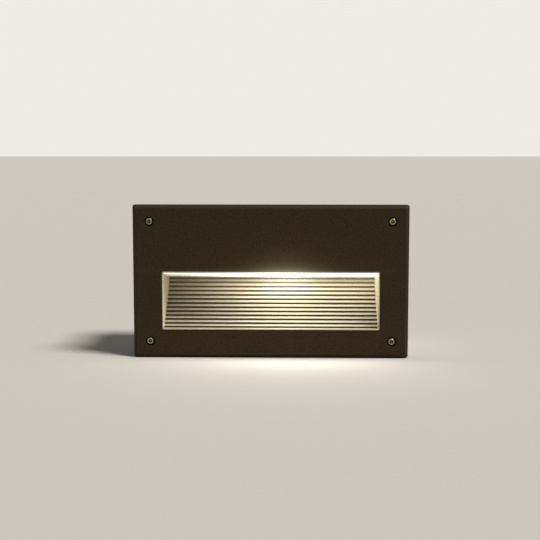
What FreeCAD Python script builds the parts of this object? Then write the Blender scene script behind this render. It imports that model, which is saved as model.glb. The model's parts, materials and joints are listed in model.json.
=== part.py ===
import FreeCAD, Part
import math
import os

# A recessed step light: a bronze faceplate with a low window, a stepped silver scoop behind the
# window, a tilted lens as the scoop's ceiling, and a cast box that holds lamp and control gear.
# Millimetres. X runs along the plate, Y into the wall, Z up. The origin is the centre of the
# faceplate's rear rim, which lies on the wall's surface at Y = 0. Depths count from the face.

Vector = FreeCAD.Vector
Rotation = FreeCAD.Rotation
Placement = FreeCAD.Placement

# ---- faceplate ---------------------------------------------------------------------------------
PLATE_WIDTH = 251.0
PLATE_HEIGHT = 140.0
PLATE_DEPTH = 9.0
PLATE_SKIN = 3.0
PLATE_RIM_WALL = 3.5
PLATE_CHAMFER = 3.0
PLATE_CORNER_RADIUS = 2.0
PLATE_FACE_CORNER_RADIUS = 0.6
PLATE_RIB_THICKNESS = 2.0
PLATE_RIB_DEPTH = 2.5
PLATE_RIB_COUNT = 4
PLATE_RIB_PITCH = 46.0
PLATE_RIB_RISE = 21.9

# ---- window and scoop --------------------------------------------------------------------------
WINDOW_SIDE_MARGIN = 26.35
WINDOW_TOP_MARGIN = 60.8
WINDOW_BOTTOM_MARGIN = 25.8
WINDOW_CORNER_RADIUS = 1.2
WINDOW_GAP = 0.12
RIM_WALL = 1.1
RIM_PROUD = 0.4
RIM_ROUND = 0.7
SCOOP_WALL = 2.2
SCOOP_SIDE_DRAFT = 0.3
STEP_COUNT = 12
STEP_RISER = 1.6
STEP_FRONT_DEPTH = 4.9
STEP_BACK_DEPTH = 49.9
STEP_TOP_DROP = 11.3
STEP_SAG = 1.6
FLANGE_THICKNESS = 2.5
FLANGE_SIDE_MARGIN = 5.3
FLANGE_BOTTOM_MARGIN = 3.7
FLANGE_TOP_MARGIN = 8.3
EAR_RADIUS = 4.8
BOSS_RADIUS = 3.25
BOSS_CLEARANCE = 0.2
BOSS_HOLE_FLOOR = 0.9
BOSS_SHORT = 0.1
BOSS_TOP_RISE = 14.4
BOSS_BOTTOM_DROP = 7.2
BOSS_PITCH = 72.0

# ---- lens, tilted down towards the back --------------------------------------------------------
LENS_TILT_DEG = 13.2
LENS_THICKNESS = 4.0
LENS_SIDE_OVERLAP = 4.85
LENS_FRONT = 7.5
LENS_BACK_OVERLAP = 6.05
LENS_CORNER_RADIUS = 3.0
LENS_ARRIS = 0.5
BAR_LENGTH = 11.0
BAR_THICKNESS = 1.4
SEAL_LIP = 1.0
SEAL_EDGE = 1.3
SEAL_OVERLAP = 3.3
SEAL_CORNER_RADIUS = 4.0
LEDGE_THICKNESS = 2.5
LEDGE_FRONT = 9.0
LEDGE_MARGIN = 0.7
LUG_HALF_WIDTH = 5.0
LUG_THICKNESS = 2.0
LUG_FRONT = 3.0
LUG_PITCH = 75.0
CLIP_PITCH = 80.0
CLIP_HALF_WIDTH = 4.5
CLIP_THICKNESS = 0.8
CLIP_DROP = 3.0
CLIP_GAP = 0.5
CLIP_REACH = 3.3
CLIP_FOOT = 7.8
CLIP_BOSS_RADIUS = 3.2
CLIP_BOSS_BEHIND = 4.9
CLIP_BOSS_ROOT = 5.5

# ---- box in the wall ---------------------------------------------------------------------------
BOX_SIDE_MARGIN = 9.5
BOX_END_MARGIN = 10.0
BOX_RECESS = 1.0
GEAR_DEPTH = 47.1
BOX_WALL = 4.0
BOX_REAR_WALL = 3.0
BOX_CORNER_RADIUS = 6.0
BOX_OUTER_DRAFT = 1.0
BOX_INNER_DRAFT = 1.2
COLUMN_RADIUS = 7.0
HUB_RADIUS = 14.0
HUB_THREAD_RADIUS = 9.9
HUB_INWARD = 9.0
SIDE_HUB_INSET = 28.0
SIDE_HUB_Z = -28.0
REAR_HUB_INSET = 32.0
REAR_HUB_Z = 24.0
FIXING_INSET_X = 18.0
FIXING_INSET_Z = 16.0
FIXING_RADIUS = 2.75
PLUG_LENGTH = 10.0
PLUG_HEX = 9.5
PLUG_SOCKET_DEPTH = 6.0
PLUG_CLEARANCE = 0.1

# ---- face screws, gasket -----------------------------------------------------------------------
SCREW_INSET_X = 15.2
SCREW_INSET_Z = 15.15
HEAD_RADIUS = 3.5
HEAD_HEIGHT = 2.8
HEAD_BELOW_FACE = 0.3
HEAD_ROUND = 0.4
SOCKET_HEX = 3.0
SOCKET_DEPTH = 1.6
SOCKET_PIN_RADIUS = 0.5
SOCKET_PIN_DROP = 0.2
COUNTERBORE_RADIUS = 4.25
COUNTERBORE_ROUND = 0.3
WASHER_RADIUS = 3.9
WASHER_THICKNESS = 0.8
SHANK_RADIUS = 1.6
SHANK_LENGTH = 15.3
THREAD_RADIUS = 1.95
THREAD_LENGTH = 6.0
THREAD_CHAMFER = 0.5
THREAD_CLEARANCE = 0.05
WASHER_CLEARANCE = 0.08
RETAINER_RADIUS = 3.3
RETAINER_THICKNESS = 1.2
RETAINER_CLEARANCE = 0.15
PLATE_HOLE_RADIUS = 2.3
SEAL_HOLE_RADIUS = 2.6
COLUMN_CLEAR_DEPTH = 8.0
COLUMN_THREAD_DEPTH = 8.5
GASKET_THICKNESS = 2.0

# ---- small screws: M3 for sheet and trim, M4 for the tray ---------------------------------------
M3_RADIUS = 1.45
M3_HEAD_RADIUS = 2.75
M3_HEAD_HEIGHT = 2.0
M4_RADIUS = 1.95
M4_HEAD_RADIUS = 3.6
TAPPED_CLEARANCE = 0.05
THROUGH_CLEARANCE = 0.25
TIP_GAP = 0.5
FLANGE_HEAD_RADIUS = 4.3
FLANGE_HEAD_THICKNESS = 0.8
CLIP_HEAD_RADIUS = 2.6
BLOCK_HEAD_RADIUS = 2.2
TRAY_SCREW_REACH = 0.8
TRAY_TAP_DEPTH = 2.0
CLIP_BOSS_FLOOR = 1.0
HOLDER_SCREW_DEPTH = 7.0

# ---- lamp and holder ---------------------------------------------------------------------------
LAMP_Y = 30.0
LAMP_DROP = 27.0
HOLDER_INSET = 15.6
TUBE_RADIUS = 6.25
TUBE_PITCH = 15.5
LAMP_END_GAP = 30.0
BRIDGE_RADIUS = 3.5
BRIDGE_FROM_TIP = 11.0
BASE_LENGTH = 22.0
BASE_WIDTH = 32.0
BASE_HEIGHT = 18.0
NOSE_LENGTH = 22.0
NOSE_WIDTH = 18.0
NOSE_HEIGHT = 11.0
NOSE_CLEARANCE = 0.3
NOSE_BOTTOM_GAP = 1.5
PIN_RADIUS = 1.15
PIN_LENGTH = 7.0
PIN_PITCH = 23.0
PIN_CLEARANCE = 0.05
SLEEVE_WALL = 0.3
HOLDER_LENGTH = 28.4
HOLDER_WIDTH = 36.0
HOLDER_HEIGHT = 22.0
HOLDER_SCREW_PITCH = 26.0
SHEET = 1.2
BRACKET_FOOT = 20.0
BRACKET_WIDTH = 24.0
ROOF_PAD_RADIUS = 4.0
ROOF_PAD_DROP = 5.4
ROOF_SCREW_DEPTH = 3.4
BASE_CORNER_RADIUS = 4.0
NOSE_CORNER_RADIUS = 1.0
PIN_TIP_ROUND = 0.8
PIN_HOLE_GAP = 2.0
SLEEVE_INSET = 1.0
HOLDER_CORNER_RADIUS = 2.0
HOLDER_ENTRY_X = 7.4
HOLDER_ENTRY_PITCH = 10.0
BRACKET_SCREW_X = 12.0

# ---- reflector and lamp clip -------------------------------------------------------------------
REFLECTOR_SHEET = 0.8
REFLECTOR_LAMP_GAP = 2.0
REFLECTOR_END_INSET = 16.0
REFLECTOR_FRONT_Y = 6.0
REFLECTOR_REAR_INSET = 32.0
REFLECTOR_SHOULDER_DROP = 16.0
REFLECTOR_FRONT_DROP = 39.0
REFLECTOR_REAR_DROP = 50.0
REFLECTOR_SLOPE = 10.0
REFLECTOR_SCREW_START = 20.0
REFLECTOR_SCREW_END = 16.0
LAMP_CLIP_BRIDGE_GAP = 9.5
LAMP_CLIP_LENGTH = 6.0
LAMP_CLIP_CLEARANCE = 0.3
LAMP_CLIP_WALL = 1.6
LAMP_CLIP_STEM = 12.0
LAMP_CLIP_JAW = 3.6
LAMP_CLIP_CORNER_RADIUS = 1.2

# ---- control gear ------------------------------------------------------------------------------
TRAY_LEFT_INSET = 54.0
TRAY_RIGHT_INSET = 24.0
TRAY_END_INSET = 10.0
TRAY_FLANGE = 8.0
TRAY_PAD_HEIGHT = 1.5
TRAY_PAD_RADIUS = 5.0
TRAY_SCREW_INSET = 10.0
TRAY_SCREW_END_INSET = 6.0
CORE_INSET = 22.0
CORE_BLOCK_GAP = 27.5
CORE_RISE = 20.0
CORE_HEIGHT = 36.0
CORE_STACK = 20.0
CORE_LEG = 6.0
CORE_CENTRE_LEG = 10.0
CORE_YOKE = 12.0
COIL_BULGE = 2.2
COIL_CORNER_RADIUS = 1.5
COIL_LEAD_X = 8.0
COIL_LEAD_Z = 6.0
COIL_CLEARANCE = 0.2
BOBBIN_WALL = 0.8
BOBBIN_FLANGE = 1.2
TRAY_CUT_CLEARANCE = 1.5
GRIP_WIDTH = 20.0
GRIP_FOOT = 12.0
GRIP_FOLD = 5.0
BLOCK_INSET = 24.0
BLOCK_RISE = 22.0
BLOCK_LENGTH = 33.0
BLOCK_DEPTH = 16.0
BLOCK_HEIGHT = 22.0
POLE_PITCH = 10.0
POLE_COUNT = 3
WELL_RADIUS = 2.4
WELL_DEPTH = 5.7
CLAMP_WIDTH = 5.2
CLAMP_DEPTH = 6.0
CLAMP_LENGTH = 14.0
CLAMP_BORE = 1.4
CLAMP_SCREW_RADIUS = 1.25
CLAMP_HEAD_GAP = 0.3
CLAMP_HEAD_HEIGHT = 2.0
CLAMP_HEAD_LIFT = 1.5
CLAMP_SLOT_WIDTH = 0.6
CLAMP_SLOT_DEPTH = 0.8
CLAMP_SLOT_LENGTH = 4.0
BLOCK_CORNER_RADIUS = 1.5
LEAD_RADIUS = 1.2
LEAD_ENTRY_CLEARANCE = 0.3
LEAD_ENTRY_DEPTH = 4.0
LUG_RING_RADIUS = 4.0
LUG_RING_THICKNESS = 0.8
LUG_WIRE_GAP = 0.4
GROUND_INSET = 8.0
GROUND_RISE = 38.0

# ---- places worked out from the sizes above ----------------------------------------------------
FACE_Y = -PLATE_DEPTH
SKIN_BACK_Y = FACE_Y + PLATE_SKIN
LAND_Y = BOX_RECESS - GASKET_THICKNESS
FLANGE_BACK_Y = SKIN_BACK_Y + FLANGE_THICKNESS

WINDOW_WIDTH = PLATE_WIDTH - 2 * WINDOW_SIDE_MARGIN
WINDOW_HEIGHT = PLATE_HEIGHT - WINDOW_TOP_MARGIN - WINDOW_BOTTOM_MARGIN
WINDOW_CENTRE_Z = (WINDOW_BOTTOM_MARGIN - WINDOW_TOP_MARGIN) / 2
SILL_Z = WINDOW_CENTRE_Z - WINDOW_HEIGHT / 2 + RIM_WALL
CEILING_Z = WINDOW_CENTRE_Z + WINDOW_HEIGHT / 2 - RIM_WALL
CAVITY_HALF = WINDOW_WIDTH / 2 - RIM_WALL
STEP_TOP_Z = CEILING_Z - STEP_TOP_DROP
BOSS_TOP_Z = CEILING_Z + BOSS_TOP_RISE
BOSS_BOTTOM_Z = SILL_Z - BOSS_BOTTOM_DROP
PLATE_RIB_BOTTOM = CEILING_Z + PLATE_RIB_RISE

LENS_TILT = math.radians(LENS_TILT_DEG)
LENS_HALF_WIDTH = WINDOW_WIDTH / 2 + LENS_SIDE_OVERLAP
LENS_BACK = STEP_BACK_DEPTH / math.cos(LENS_TILT) + LENS_BACK_OVERLAP
SEAT_N = BAR_THICKNESS
LENS_BOTTOM_N = SEAT_N + SEAL_LIP
LENS_TOP_N = LENS_BOTTOM_N + LENS_THICKNESS
SEAL_TOP_N = LENS_TOP_N + SEAL_LIP

BOX_WIDTH = PLATE_WIDTH - 2 * BOX_SIDE_MARGIN
BOX_HEIGHT = PLATE_HEIGHT - 2 * BOX_END_MARGIN
BOX_BACK = FACE_Y + STEP_BACK_DEPTH + GEAR_DEPTH
BOX_FLOOR_Y = BOX_BACK - BOX_REAR_WALL
BOX_RIGHT_X = BOX_WIDTH / 2
BOX_LEFT_X = -BOX_WIDTH / 2
BOX_TOP_Z = BOX_HEIGHT / 2
SIDE_HUB_Y = BOX_BACK - SIDE_HUB_INSET
REAR_HUB_X = BOX_LEFT_X + REAR_HUB_INSET
FIXING_SPACING_X = BOX_WIDTH - 2 * FIXING_INSET_X
FIXING_SPACING_Z = BOX_HEIGHT - 2 * FIXING_INSET_Z
SCREW_SPACING_X = PLATE_WIDTH - 2 * SCREW_INSET_X
SCREW_SPACING_Z = PLATE_HEIGHT - 2 * SCREW_INSET_Z

HEAD_TOP_Y = FACE_Y + HEAD_BELOW_FACE
HEAD_SEAT_Y = HEAD_TOP_Y + HEAD_HEIGHT
COUNTERBORE_Y = HEAD_SEAT_Y + WASHER_THICKNESS
THREAD_START_Y = HEAD_SEAT_Y + SHANK_LENGTH
COLUMN_THREAD_Y = BOX_RECESS + COLUMN_CLEAR_DEPTH

LAMP_Z = BOX_TOP_Z - LAMP_DROP
ROOF_PAD_Z = BOX_TOP_Z - ROOF_PAD_DROP
HOLDER_BACK_X = BOX_LEFT_X + HOLDER_INSET
LAMP_PLANE_X = HOLDER_BACK_X + HOLDER_LENGTH
TUBE_START_X = LAMP_PLANE_X + BASE_LENGTH
TUBE_LENGTH = BOX_RIGHT_X - LAMP_END_GAP - TUBE_START_X
BRIDGE_LEFT_X = TUBE_START_X + TUBE_LENGTH - BRIDGE_FROM_TIP - BRIDGE_RADIUS
LAMP_CLIP_X = BRIDGE_LEFT_X - LAMP_CLIP_BRIDGE_GAP - LAMP_CLIP_LENGTH
REFLECTOR_X0 = LAMP_PLANE_X + REFLECTOR_LAMP_GAP
REFLECTOR_X1 = BOX_RIGHT_X - REFLECTOR_END_INSET
REFLECTOR_BACK_Y = BOX_BACK - REFLECTOR_REAR_INSET
REFLECTOR_SHOULDER_Z = BOX_TOP_Z - REFLECTOR_SHOULDER_DROP
REFLECTOR_FRONT_Z = BOX_TOP_Z - REFLECTOR_FRONT_DROP
REFLECTOR_REAR_Z = BOX_TOP_Z - REFLECTOR_REAR_DROP
REFLECTOR_SCREW_XS = (REFLECTOR_X0 + REFLECTOR_SCREW_START, REFLECTOR_X1 - REFLECTOR_SCREW_END)

TRAY_X0 = BOX_LEFT_X + TRAY_LEFT_INSET
TRAY_X1 = BOX_RIGHT_X - TRAY_RIGHT_INSET
TRAY_Z = BOX_TOP_Z - TRAY_END_INSET
TRAY_SCREW_Z = TRAY_Z - TRAY_SCREW_END_INSET
TRAY_BACK_Y = BOX_FLOOR_Y - TRAY_PAD_HEIGHT
TRAY_FRONT_Y = TRAY_BACK_Y - SHEET
BLOCK_CENTRE_X = TRAY_X0 + BLOCK_INSET
BLOCK_CENTRE_Z = BLOCK_RISE - TRAY_Z
CORE_X0 = BLOCK_CENTRE_X + BLOCK_LENGTH / 2 + CORE_BLOCK_GAP
CORE_X1 = TRAY_X1 - CORE_INSET
CORE_CENTRE_Z = CORE_RISE - TRAY_Z
CORE_Y0 = TRAY_FRONT_Y - CORE_STACK
BLOCK_Y0 = TRAY_FRONT_Y - BLOCK_DEPTH
WIRE_Y = BLOCK_Y0 + WELL_DEPTH + CLAMP_DEPTH / 2
GROUND_X = TRAY_X0 + GROUND_INSET
GROUND_Z = BLOCK_CENTRE_Z + GROUND_RISE
FAR = 200.0


# ---- basic shapes ------------------------------------------------------------------------------
def block(x0, x1, y0, y1, z0, z1):
    """A box between two opposite corners."""
    return Part.makeBox(x1 - x0, y1 - y0, z1 - z0, Vector(x0, y0, z0))


def rod_x(y, z, radius, x0, x1):
    """A round bar along X."""
    return Part.makeCylinder(radius, x1 - x0, Vector(x0, y, z), Vector(1, 0, 0))


def rod_y(x, z, radius, y0, y1):
    """A round bar along Y."""
    return Part.makeCylinder(radius, y1 - y0, Vector(x, y0, z), Vector(0, 1, 0))


def rod_z(x, y, radius, z0, z1):
    """A round bar along Z."""
    return Part.makeCylinder(radius, z1 - z0, Vector(x, y, z0), Vector(0, 0, 1))


def rounded_outline(width, height, radius, y, centre_z=0.0):
    """A closed rectangle with round corners, across the plane at depth y."""
    edges = []
    ends = []
    for side_x, side_z, start in ((1, 1, 0), (-1, 1, 90), (-1, -1, 180), (1, -1, 270)):
        x = side_x * (width / 2 - radius)
        z = centre_z + side_z * (height / 2 - radius)
        turn = [math.radians(start + step) for step in (0, 45, 90)]
        points = [Vector(x + radius * math.cos(a), y, z + radius * math.sin(a)) for a in turn]
        if ends:
            edges.append(Part.LineSegment(ends[-1], points[0]).toShape())
        edges.append(Part.Arc(*points).toShape())
        ends += [points[0], points[2]]
    edges.append(Part.LineSegment(ends[-1], ends[0]).toShape())
    return Part.Wire(edges)


def slab(width, height, radius, y0, y1, centre_z=0.0):
    """A plate with round corners between two depths."""
    face = Part.Face(rounded_outline(width, height, radius, y0, centre_z))
    return face.extrude(Vector(0, y1 - y0, 0))


def taper(first, last):
    """A solid between two rounded outlines, given as (width, height, radius, y)."""
    return Part.makeLoft([rounded_outline(*first), rounded_outline(*last)], True, True)


def prism_x(points, x0, x1):
    """A solid of constant section along X; points are (y, z) pairs."""
    corners = [Vector(x0, y, z) for y, z in points]
    face = Part.Face(Part.makePolygon(corners + corners[:1]))
    return face.extrude(Vector(x1 - x0, 0, 0))


def prism_z(points, z0, z1):
    """A solid of constant section along Z; points are (x, y) pairs."""
    corners = [Vector(x, y, z0) for x, y in points]
    face = Part.Face(Part.makePolygon(corners + corners[:1]))
    return face.extrude(Vector(0, 0, z1 - z0))


def hexagon_y(x, z, across_flats, y0, y1):
    """A hexagonal bar along Y."""
    reach = across_flats / math.sqrt(3)
    turns = [math.radians(60 * k) for k in range(6)]
    corners = [Vector(x + reach * math.cos(a), y0, z + reach * math.sin(a)) for a in turns]
    face = Part.Face(Part.makePolygon(corners + corners[:1]))
    return face.extrude(Vector(0, y1 - y0, 0))


def edges_along(shape, axis):
    """The straight edges of a shape that run along an axis."""
    return [
        edge
        for edge in shape.Edges
        if isinstance(edge.Curve, Part.Line) and abs(edge.Curve.Direction.dot(axis)) > 0.999
    ]


def soft_block(x0, x1, y0, y1, z0, z1, radius, axis):
    """A box whose four edges along one axis are rounded."""
    solid = block(x0, x1, y0, y1, z0, z1)
    return solid.makeFillet(radius, edges_along(solid, axis))


def joined(shapes):
    """One solid from shapes that meet or overlap."""
    return shapes[0].multiFuse(shapes[1:]).removeSplitter()


def on_lens(shape):
    """Moves a shape from the lens's own axes (x, along the slope, up from it) to the light's."""
    tilt = Rotation(Vector(1, 0, 0), -LENS_TILT_DEG)
    moved = shape.copy()
    moved.Placement = Placement(Vector(0, FACE_Y, CEILING_Z), tilt).multiply(moved.Placement)
    return moved


def spread(count, pitch):
    """Evenly spaced places about zero."""
    return [(k - (count - 1) / 2) * pitch for k in range(count)]


def face_screw_places():
    """Each face screw's name with its x and z."""
    x = SCREW_SPACING_X / 2
    z = SCREW_SPACING_Z / 2
    return {
        "upper_left": (-x, z),
        "upper_right": (x, z),
        "lower_left": (-x, -z),
        "lower_right": (x, -z),
    }


def scoop_boss_places():
    """Where the faceplate's bosses pass through the scoop's flange."""
    xs = spread(3, BOSS_PITCH)
    return [(x, BOSS_TOP_Z) for x in xs] + [(x, BOSS_BOTTOM_Z) for x in xs]


# ---- front: faceplate, gasket ------------------------------------------------------------------
def seal_ring(y0, y1):
    """The band that seals plate to box: the box's mouth with its four corner columns."""
    outer = slab(BOX_WIDTH, BOX_HEIGHT, BOX_CORNER_RADIUS, y0, y1)
    inner_radius = BOX_CORNER_RADIUS - BOX_WALL
    inner = slab(BOX_WIDTH - 2 * BOX_WALL, BOX_HEIGHT - 2 * BOX_WALL, inner_radius, y0, y1)
    columns = [rod_y(x, z, COLUMN_RADIUS, y0, y1) for x, z in face_screw_places().values()]
    return outer.cut(inner.cut(columns))


def plate_ribs():
    """Upright stiffening ribs behind the plain upper half of the plate."""
    top = BOX_HEIGHT / 2 - BOX_WALL
    half = PLATE_RIB_THICKNESS / 2
    return [
        block(x - half, x + half, SKIN_BACK_Y, SKIN_BACK_Y + PLATE_RIB_DEPTH, PLATE_RIB_BOTTOM, top)
        for x in spread(PLATE_RIB_COUNT, PLATE_RIB_PITCH)
    ]


def screw_pocket(x, z):
    """The counterbore, through hole and retainer pocket for one face screw."""
    mouth = Part.makeCone(
        COUNTERBORE_RADIUS + COUNTERBORE_ROUND,
        COUNTERBORE_RADIUS,
        COUNTERBORE_ROUND,
        Vector(x, FACE_Y, z),
        Vector(0, 1, 0),
    )
    bore = rod_y(x, z, COUNTERBORE_RADIUS, FACE_Y, COUNTERBORE_Y)
    hole = rod_y(x, z, PLATE_HOLE_RADIUS, FACE_Y, LAND_Y)
    pocket = rod_y(x, z, RETAINER_RADIUS, LAND_Y - RETAINER_THICKNESS, LAND_Y)
    return [mouth, bore, hole, pocket]


def make_faceplate():
    """A hollow cast plate with a bevelled edge, a sealing land and bosses for the scoop."""
    bevel_y = FACE_Y + PLATE_CHAMFER
    edge = (PLATE_WIDTH, PLATE_HEIGHT, PLATE_CORNER_RADIUS, bevel_y)
    face_width = PLATE_WIDTH - 2 * PLATE_CHAMFER
    face_height = PLATE_HEIGHT - 2 * PLATE_CHAMFER
    bevel = taper((face_width, face_height, PLATE_FACE_CORNER_RADIUS, FACE_Y), edge)
    rim = slab(PLATE_WIDTH, PLATE_HEIGHT, PLATE_CORNER_RADIUS, bevel_y, 0)
    hollow = slab(
        PLATE_WIDTH - 2 * PLATE_RIM_WALL,
        PLATE_HEIGHT - 2 * PLATE_RIM_WALL,
        PLATE_CORNER_RADIUS,
        SKIN_BACK_Y,
        0,
    )
    shell = joined([bevel, rim]).cut(hollow)
    boss_end = FLANGE_BACK_Y - BOSS_SHORT
    bosses = [rod_y(x, z, BOSS_RADIUS, SKIN_BACK_Y, boss_end) for x, z in scoop_boss_places()]
    body = joined([shell, seal_ring(SKIN_BACK_Y, LAND_Y)] + bosses + plate_ribs())
    window = slab(
        WINDOW_WIDTH + 2 * WINDOW_GAP,
        WINDOW_HEIGHT + 2 * WINDOW_GAP,
        WINDOW_CORNER_RADIUS + WINDOW_GAP,
        FACE_Y,
        SKIN_BACK_Y,
        WINDOW_CENTRE_Z,
    )
    cuts = [window]
    for x, z in face_screw_places().values():
        cuts += screw_pocket(x, z)
    tapped = M3_RADIUS + TAPPED_CLEARANCE
    hole_floor = FACE_Y + BOSS_HOLE_FLOOR
    cuts += [rod_y(x, z, tapped, hole_floor, boss_end) for x, z in scoop_boss_places()]
    return body.cut(cuts)


def make_faceplate_gasket():
    """The foam ring between the plate's land and the box's mouth."""
    holes = [
        rod_y(x, z, SEAL_HOLE_RADIUS, LAND_Y, BOX_RECESS) for x, z in face_screw_places().values()
    ]
    return seal_ring(LAND_Y, BOX_RECESS).cut(holes)


# ---- front: scoop ------------------------------------------------------------------------------
def step_arc():
    """The circle through the step feet, in (y, z): centre, radius, first and last angle."""
    first = (FACE_Y + STEP_FRONT_DEPTH, SILL_Z)
    last = (FACE_Y + STEP_BACK_DEPTH, STEP_TOP_Z)
    run = last[0] - first[0]
    rise = last[1] - first[1]
    chord = math.hypot(run, rise)
    radius = (chord * chord / 4 + STEP_SAG * STEP_SAG) / (2 * STEP_SAG)
    reach = radius - STEP_SAG
    centre_y = (first[0] + last[0]) / 2 - reach * rise / chord
    centre_z = (first[1] + last[1]) / 2 + reach * run / chord
    start = math.atan2(first[1] - centre_z, first[0] - centre_y)
    end = math.atan2(last[1] - centre_z, last[0] - centre_y)
    return (centre_y, centre_z), radius, start, end


def step_feet():
    """The foot of each riser, evenly spaced along the arc from sill to lens."""
    (centre_y, centre_z), radius, start, end = step_arc()
    turns = [start + (end - start) * k / STEP_COUNT for k in range(STEP_COUNT + 1)]
    return [(centre_y + radius * math.cos(a), centre_z + radius * math.sin(a)) for a in turns]


def stepped_cavity():
    """The scoop's hollow: flat sill, upright risers, sloping treads, open under the lens."""
    nose_y = FACE_Y - RIM_PROUD
    feet = step_feet()
    outline = [(nose_y, SILL_Z)]
    for y, z in feet[:-1]:
        outline += [(y, z), (y, z + STEP_RISER)]
    outline += [feet[-1], (feet[-1][0], FAR / 4)]
    bar_y = FACE_Y + BAR_LENGTH * math.cos(LENS_TILT)
    bar_z = CEILING_Z - BAR_LENGTH * math.sin(LENS_TILT)
    outline += [(bar_y, FAR / 4), (bar_y, bar_z)]
    outline += [(nose_y, CEILING_Z + RIM_PROUD * math.tan(LENS_TILT))]
    hollow = prism_x(outline, -CAVITY_HALF, CAVITY_HALF)
    back_half = CAVITY_HALF - SCOOP_SIDE_DRAFT
    back_y = feet[-1][0]
    plan = [(-CAVITY_HALF, nose_y), (CAVITY_HALF, nose_y), (back_half, back_y), (-back_half, back_y)]
    return hollow.common(prism_z(plan, -FAR, FAR))


def scoop_shell():
    """The scoop's outside: an even wall behind the steps, cut off at the lens seat."""
    (centre_y, centre_z), radius, start, end = step_arc()
    outer = radius + SCOOP_WALL
    bottom_z = SILL_Z - SCOOP_WALL
    top_z = CEILING_Z
    first = math.asin((bottom_z - centre_z) / outer)
    last = math.asin((top_z - centre_z) / outer)
    points = [
        Vector(0, centre_y + outer * math.cos(a), centre_z + outer * math.sin(a))
        for a in (first, (first + last) / 2, last)
    ]
    front_bottom = Vector(0, SKIN_BACK_Y, bottom_z)
    front_top = Vector(0, SKIN_BACK_Y, top_z + LENS_TOP_N)
    back_top = Vector(0, points[2].y, top_z + LENS_TOP_N)
    edges = [
        Part.LineSegment(front_bottom, points[0]).toShape(),
        Part.Arc(*points).toShape(),
        Part.LineSegment(points[2], back_top).toShape(),
        Part.LineSegment(back_top, front_top).toShape(),
        Part.LineSegment(front_top, front_bottom).toShape(),
    ]
    half = CAVITY_HALF + SCOOP_WALL
    section = Part.Face(Part.Wire(edges))
    section.translate(Vector(-half, 0, 0))
    over_seat = on_lens(block(-FAR, FAR, -FAR, FAR, SEAT_N, FAR))
    return section.extrude(Vector(2 * half, 0, 0)).cut(over_seat)


def scoop_flange():
    """The flat flange behind the plate, with an ear round each boss."""
    half = WINDOW_WIDTH / 2 + FLANGE_SIDE_MARGIN
    low = SILL_Z - RIM_WALL - FLANGE_BOTTOM_MARGIN
    high = CEILING_Z + RIM_WALL + FLANGE_TOP_MARGIN
    pieces = [block(-half, half, SKIN_BACK_Y, FLANGE_BACK_Y, low, high)]
    for x, z in scoop_boss_places():
        root = high if z > high else low
        z0, z1 = sorted((z, root))
        pieces.append(rod_y(x, z, EAR_RADIUS, SKIN_BACK_Y, FLANGE_BACK_Y))
        pieces.append(
            block(x - EAR_RADIUS, x + EAR_RADIUS, SKIN_BACK_Y, FLANGE_BACK_Y, z0, z1)
        )
    return pieces


def lens_seat():
    """The ledge under the lens, the cast lugs over its front edge and the clip bosses."""
    half = LENS_HALF_WIDTH + SEAL_EDGE + LEDGE_MARGIN
    back = LENS_BACK + SEAL_EDGE + LEDGE_MARGIN
    pieces = [block(-half, half, LEDGE_FRONT, back, SEAT_N - LEDGE_THICKNESS, SEAT_N)]
    lug_end = LENS_FRONT + SEAL_OVERLAP
    for x in spread(3, LUG_PITCH):
        x0 = x - LUG_HALF_WIDTH
        x1 = x + LUG_HALF_WIDTH
        pieces.append(block(x0, x1, LUG_FRONT, lug_end, SEAL_TOP_N, SEAL_TOP_N + LUG_THICKNESS))
    for x in spread(3, CLIP_PITCH):
        centre = clip_boss_u()
        x0 = x - CLIP_BOSS_RADIUS
        x1 = x + CLIP_BOSS_RADIUS
        foot = SEAT_N - CLIP_BOSS_ROOT
        pieces.append(rod_z(x, centre, CLIP_BOSS_RADIUS, foot, clip_base_n()))
        pieces.append(block(x0, x1, back - 1, centre, SEAT_N - LEDGE_THICKNESS, SEAT_N))
    return [on_lens(piece) for piece in pieces]


def clip_boss_u():
    """Where the clip bosses stand, along the lens's slope."""
    return LENS_BACK + SEAL_EDGE + CLIP_BOSS_BEHIND


def clip_base_n():
    """The height of the clip bosses over the lens's slope."""
    return SEAL_TOP_N - CLIP_DROP


def mouth_edges(solid):
    """The inner front edges of the scoop's nose."""
    found = []
    for edge in solid.Edges:
        box = edge.BoundBox
        at_front = box.YMax < FACE_Y - RIM_PROUD + 0.01
        inside_x = max(-box.XMin, box.XMax) < CAVITY_HALF + 0.01
        inside_z = box.ZMin > SILL_Z - 0.01 and box.ZMax < CEILING_Z + RIM_WALL / 2
        if at_front and inside_x and inside_z:
            found.append(edge)
    return found


def make_scoop():
    """The silver casting: bright rim, drafted cheeks, stepped back and lens seat."""
    nose = slab(
        WINDOW_WIDTH,
        WINDOW_HEIGHT,
        WINDOW_CORNER_RADIUS,
        FACE_Y - RIM_PROUD,
        SKIN_BACK_Y,
        WINDOW_CENTRE_Z,
    )
    body = joined([nose, scoop_shell()] + scoop_flange() + lens_seat())
    hole = BOSS_RADIUS + BOSS_CLEARANCE
    cuts = [stepped_cavity()]
    cuts += [rod_y(x, z, hole, SKIN_BACK_Y, FLANGE_BACK_Y) for x, z in scoop_boss_places()]
    tapped = M3_RADIUS + TAPPED_CLEARANCE
    floor = SEAT_N - CLIP_BOSS_ROOT + CLIP_BOSS_FLOOR
    for x in spread(3, CLIP_PITCH):
        cuts.append(on_lens(rod_z(x, clip_boss_u(), tapped, floor, clip_base_n())))
    solid = body.cut(cuts)
    return solid.makeFillet(RIM_ROUND, mouth_edges(solid))


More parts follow.
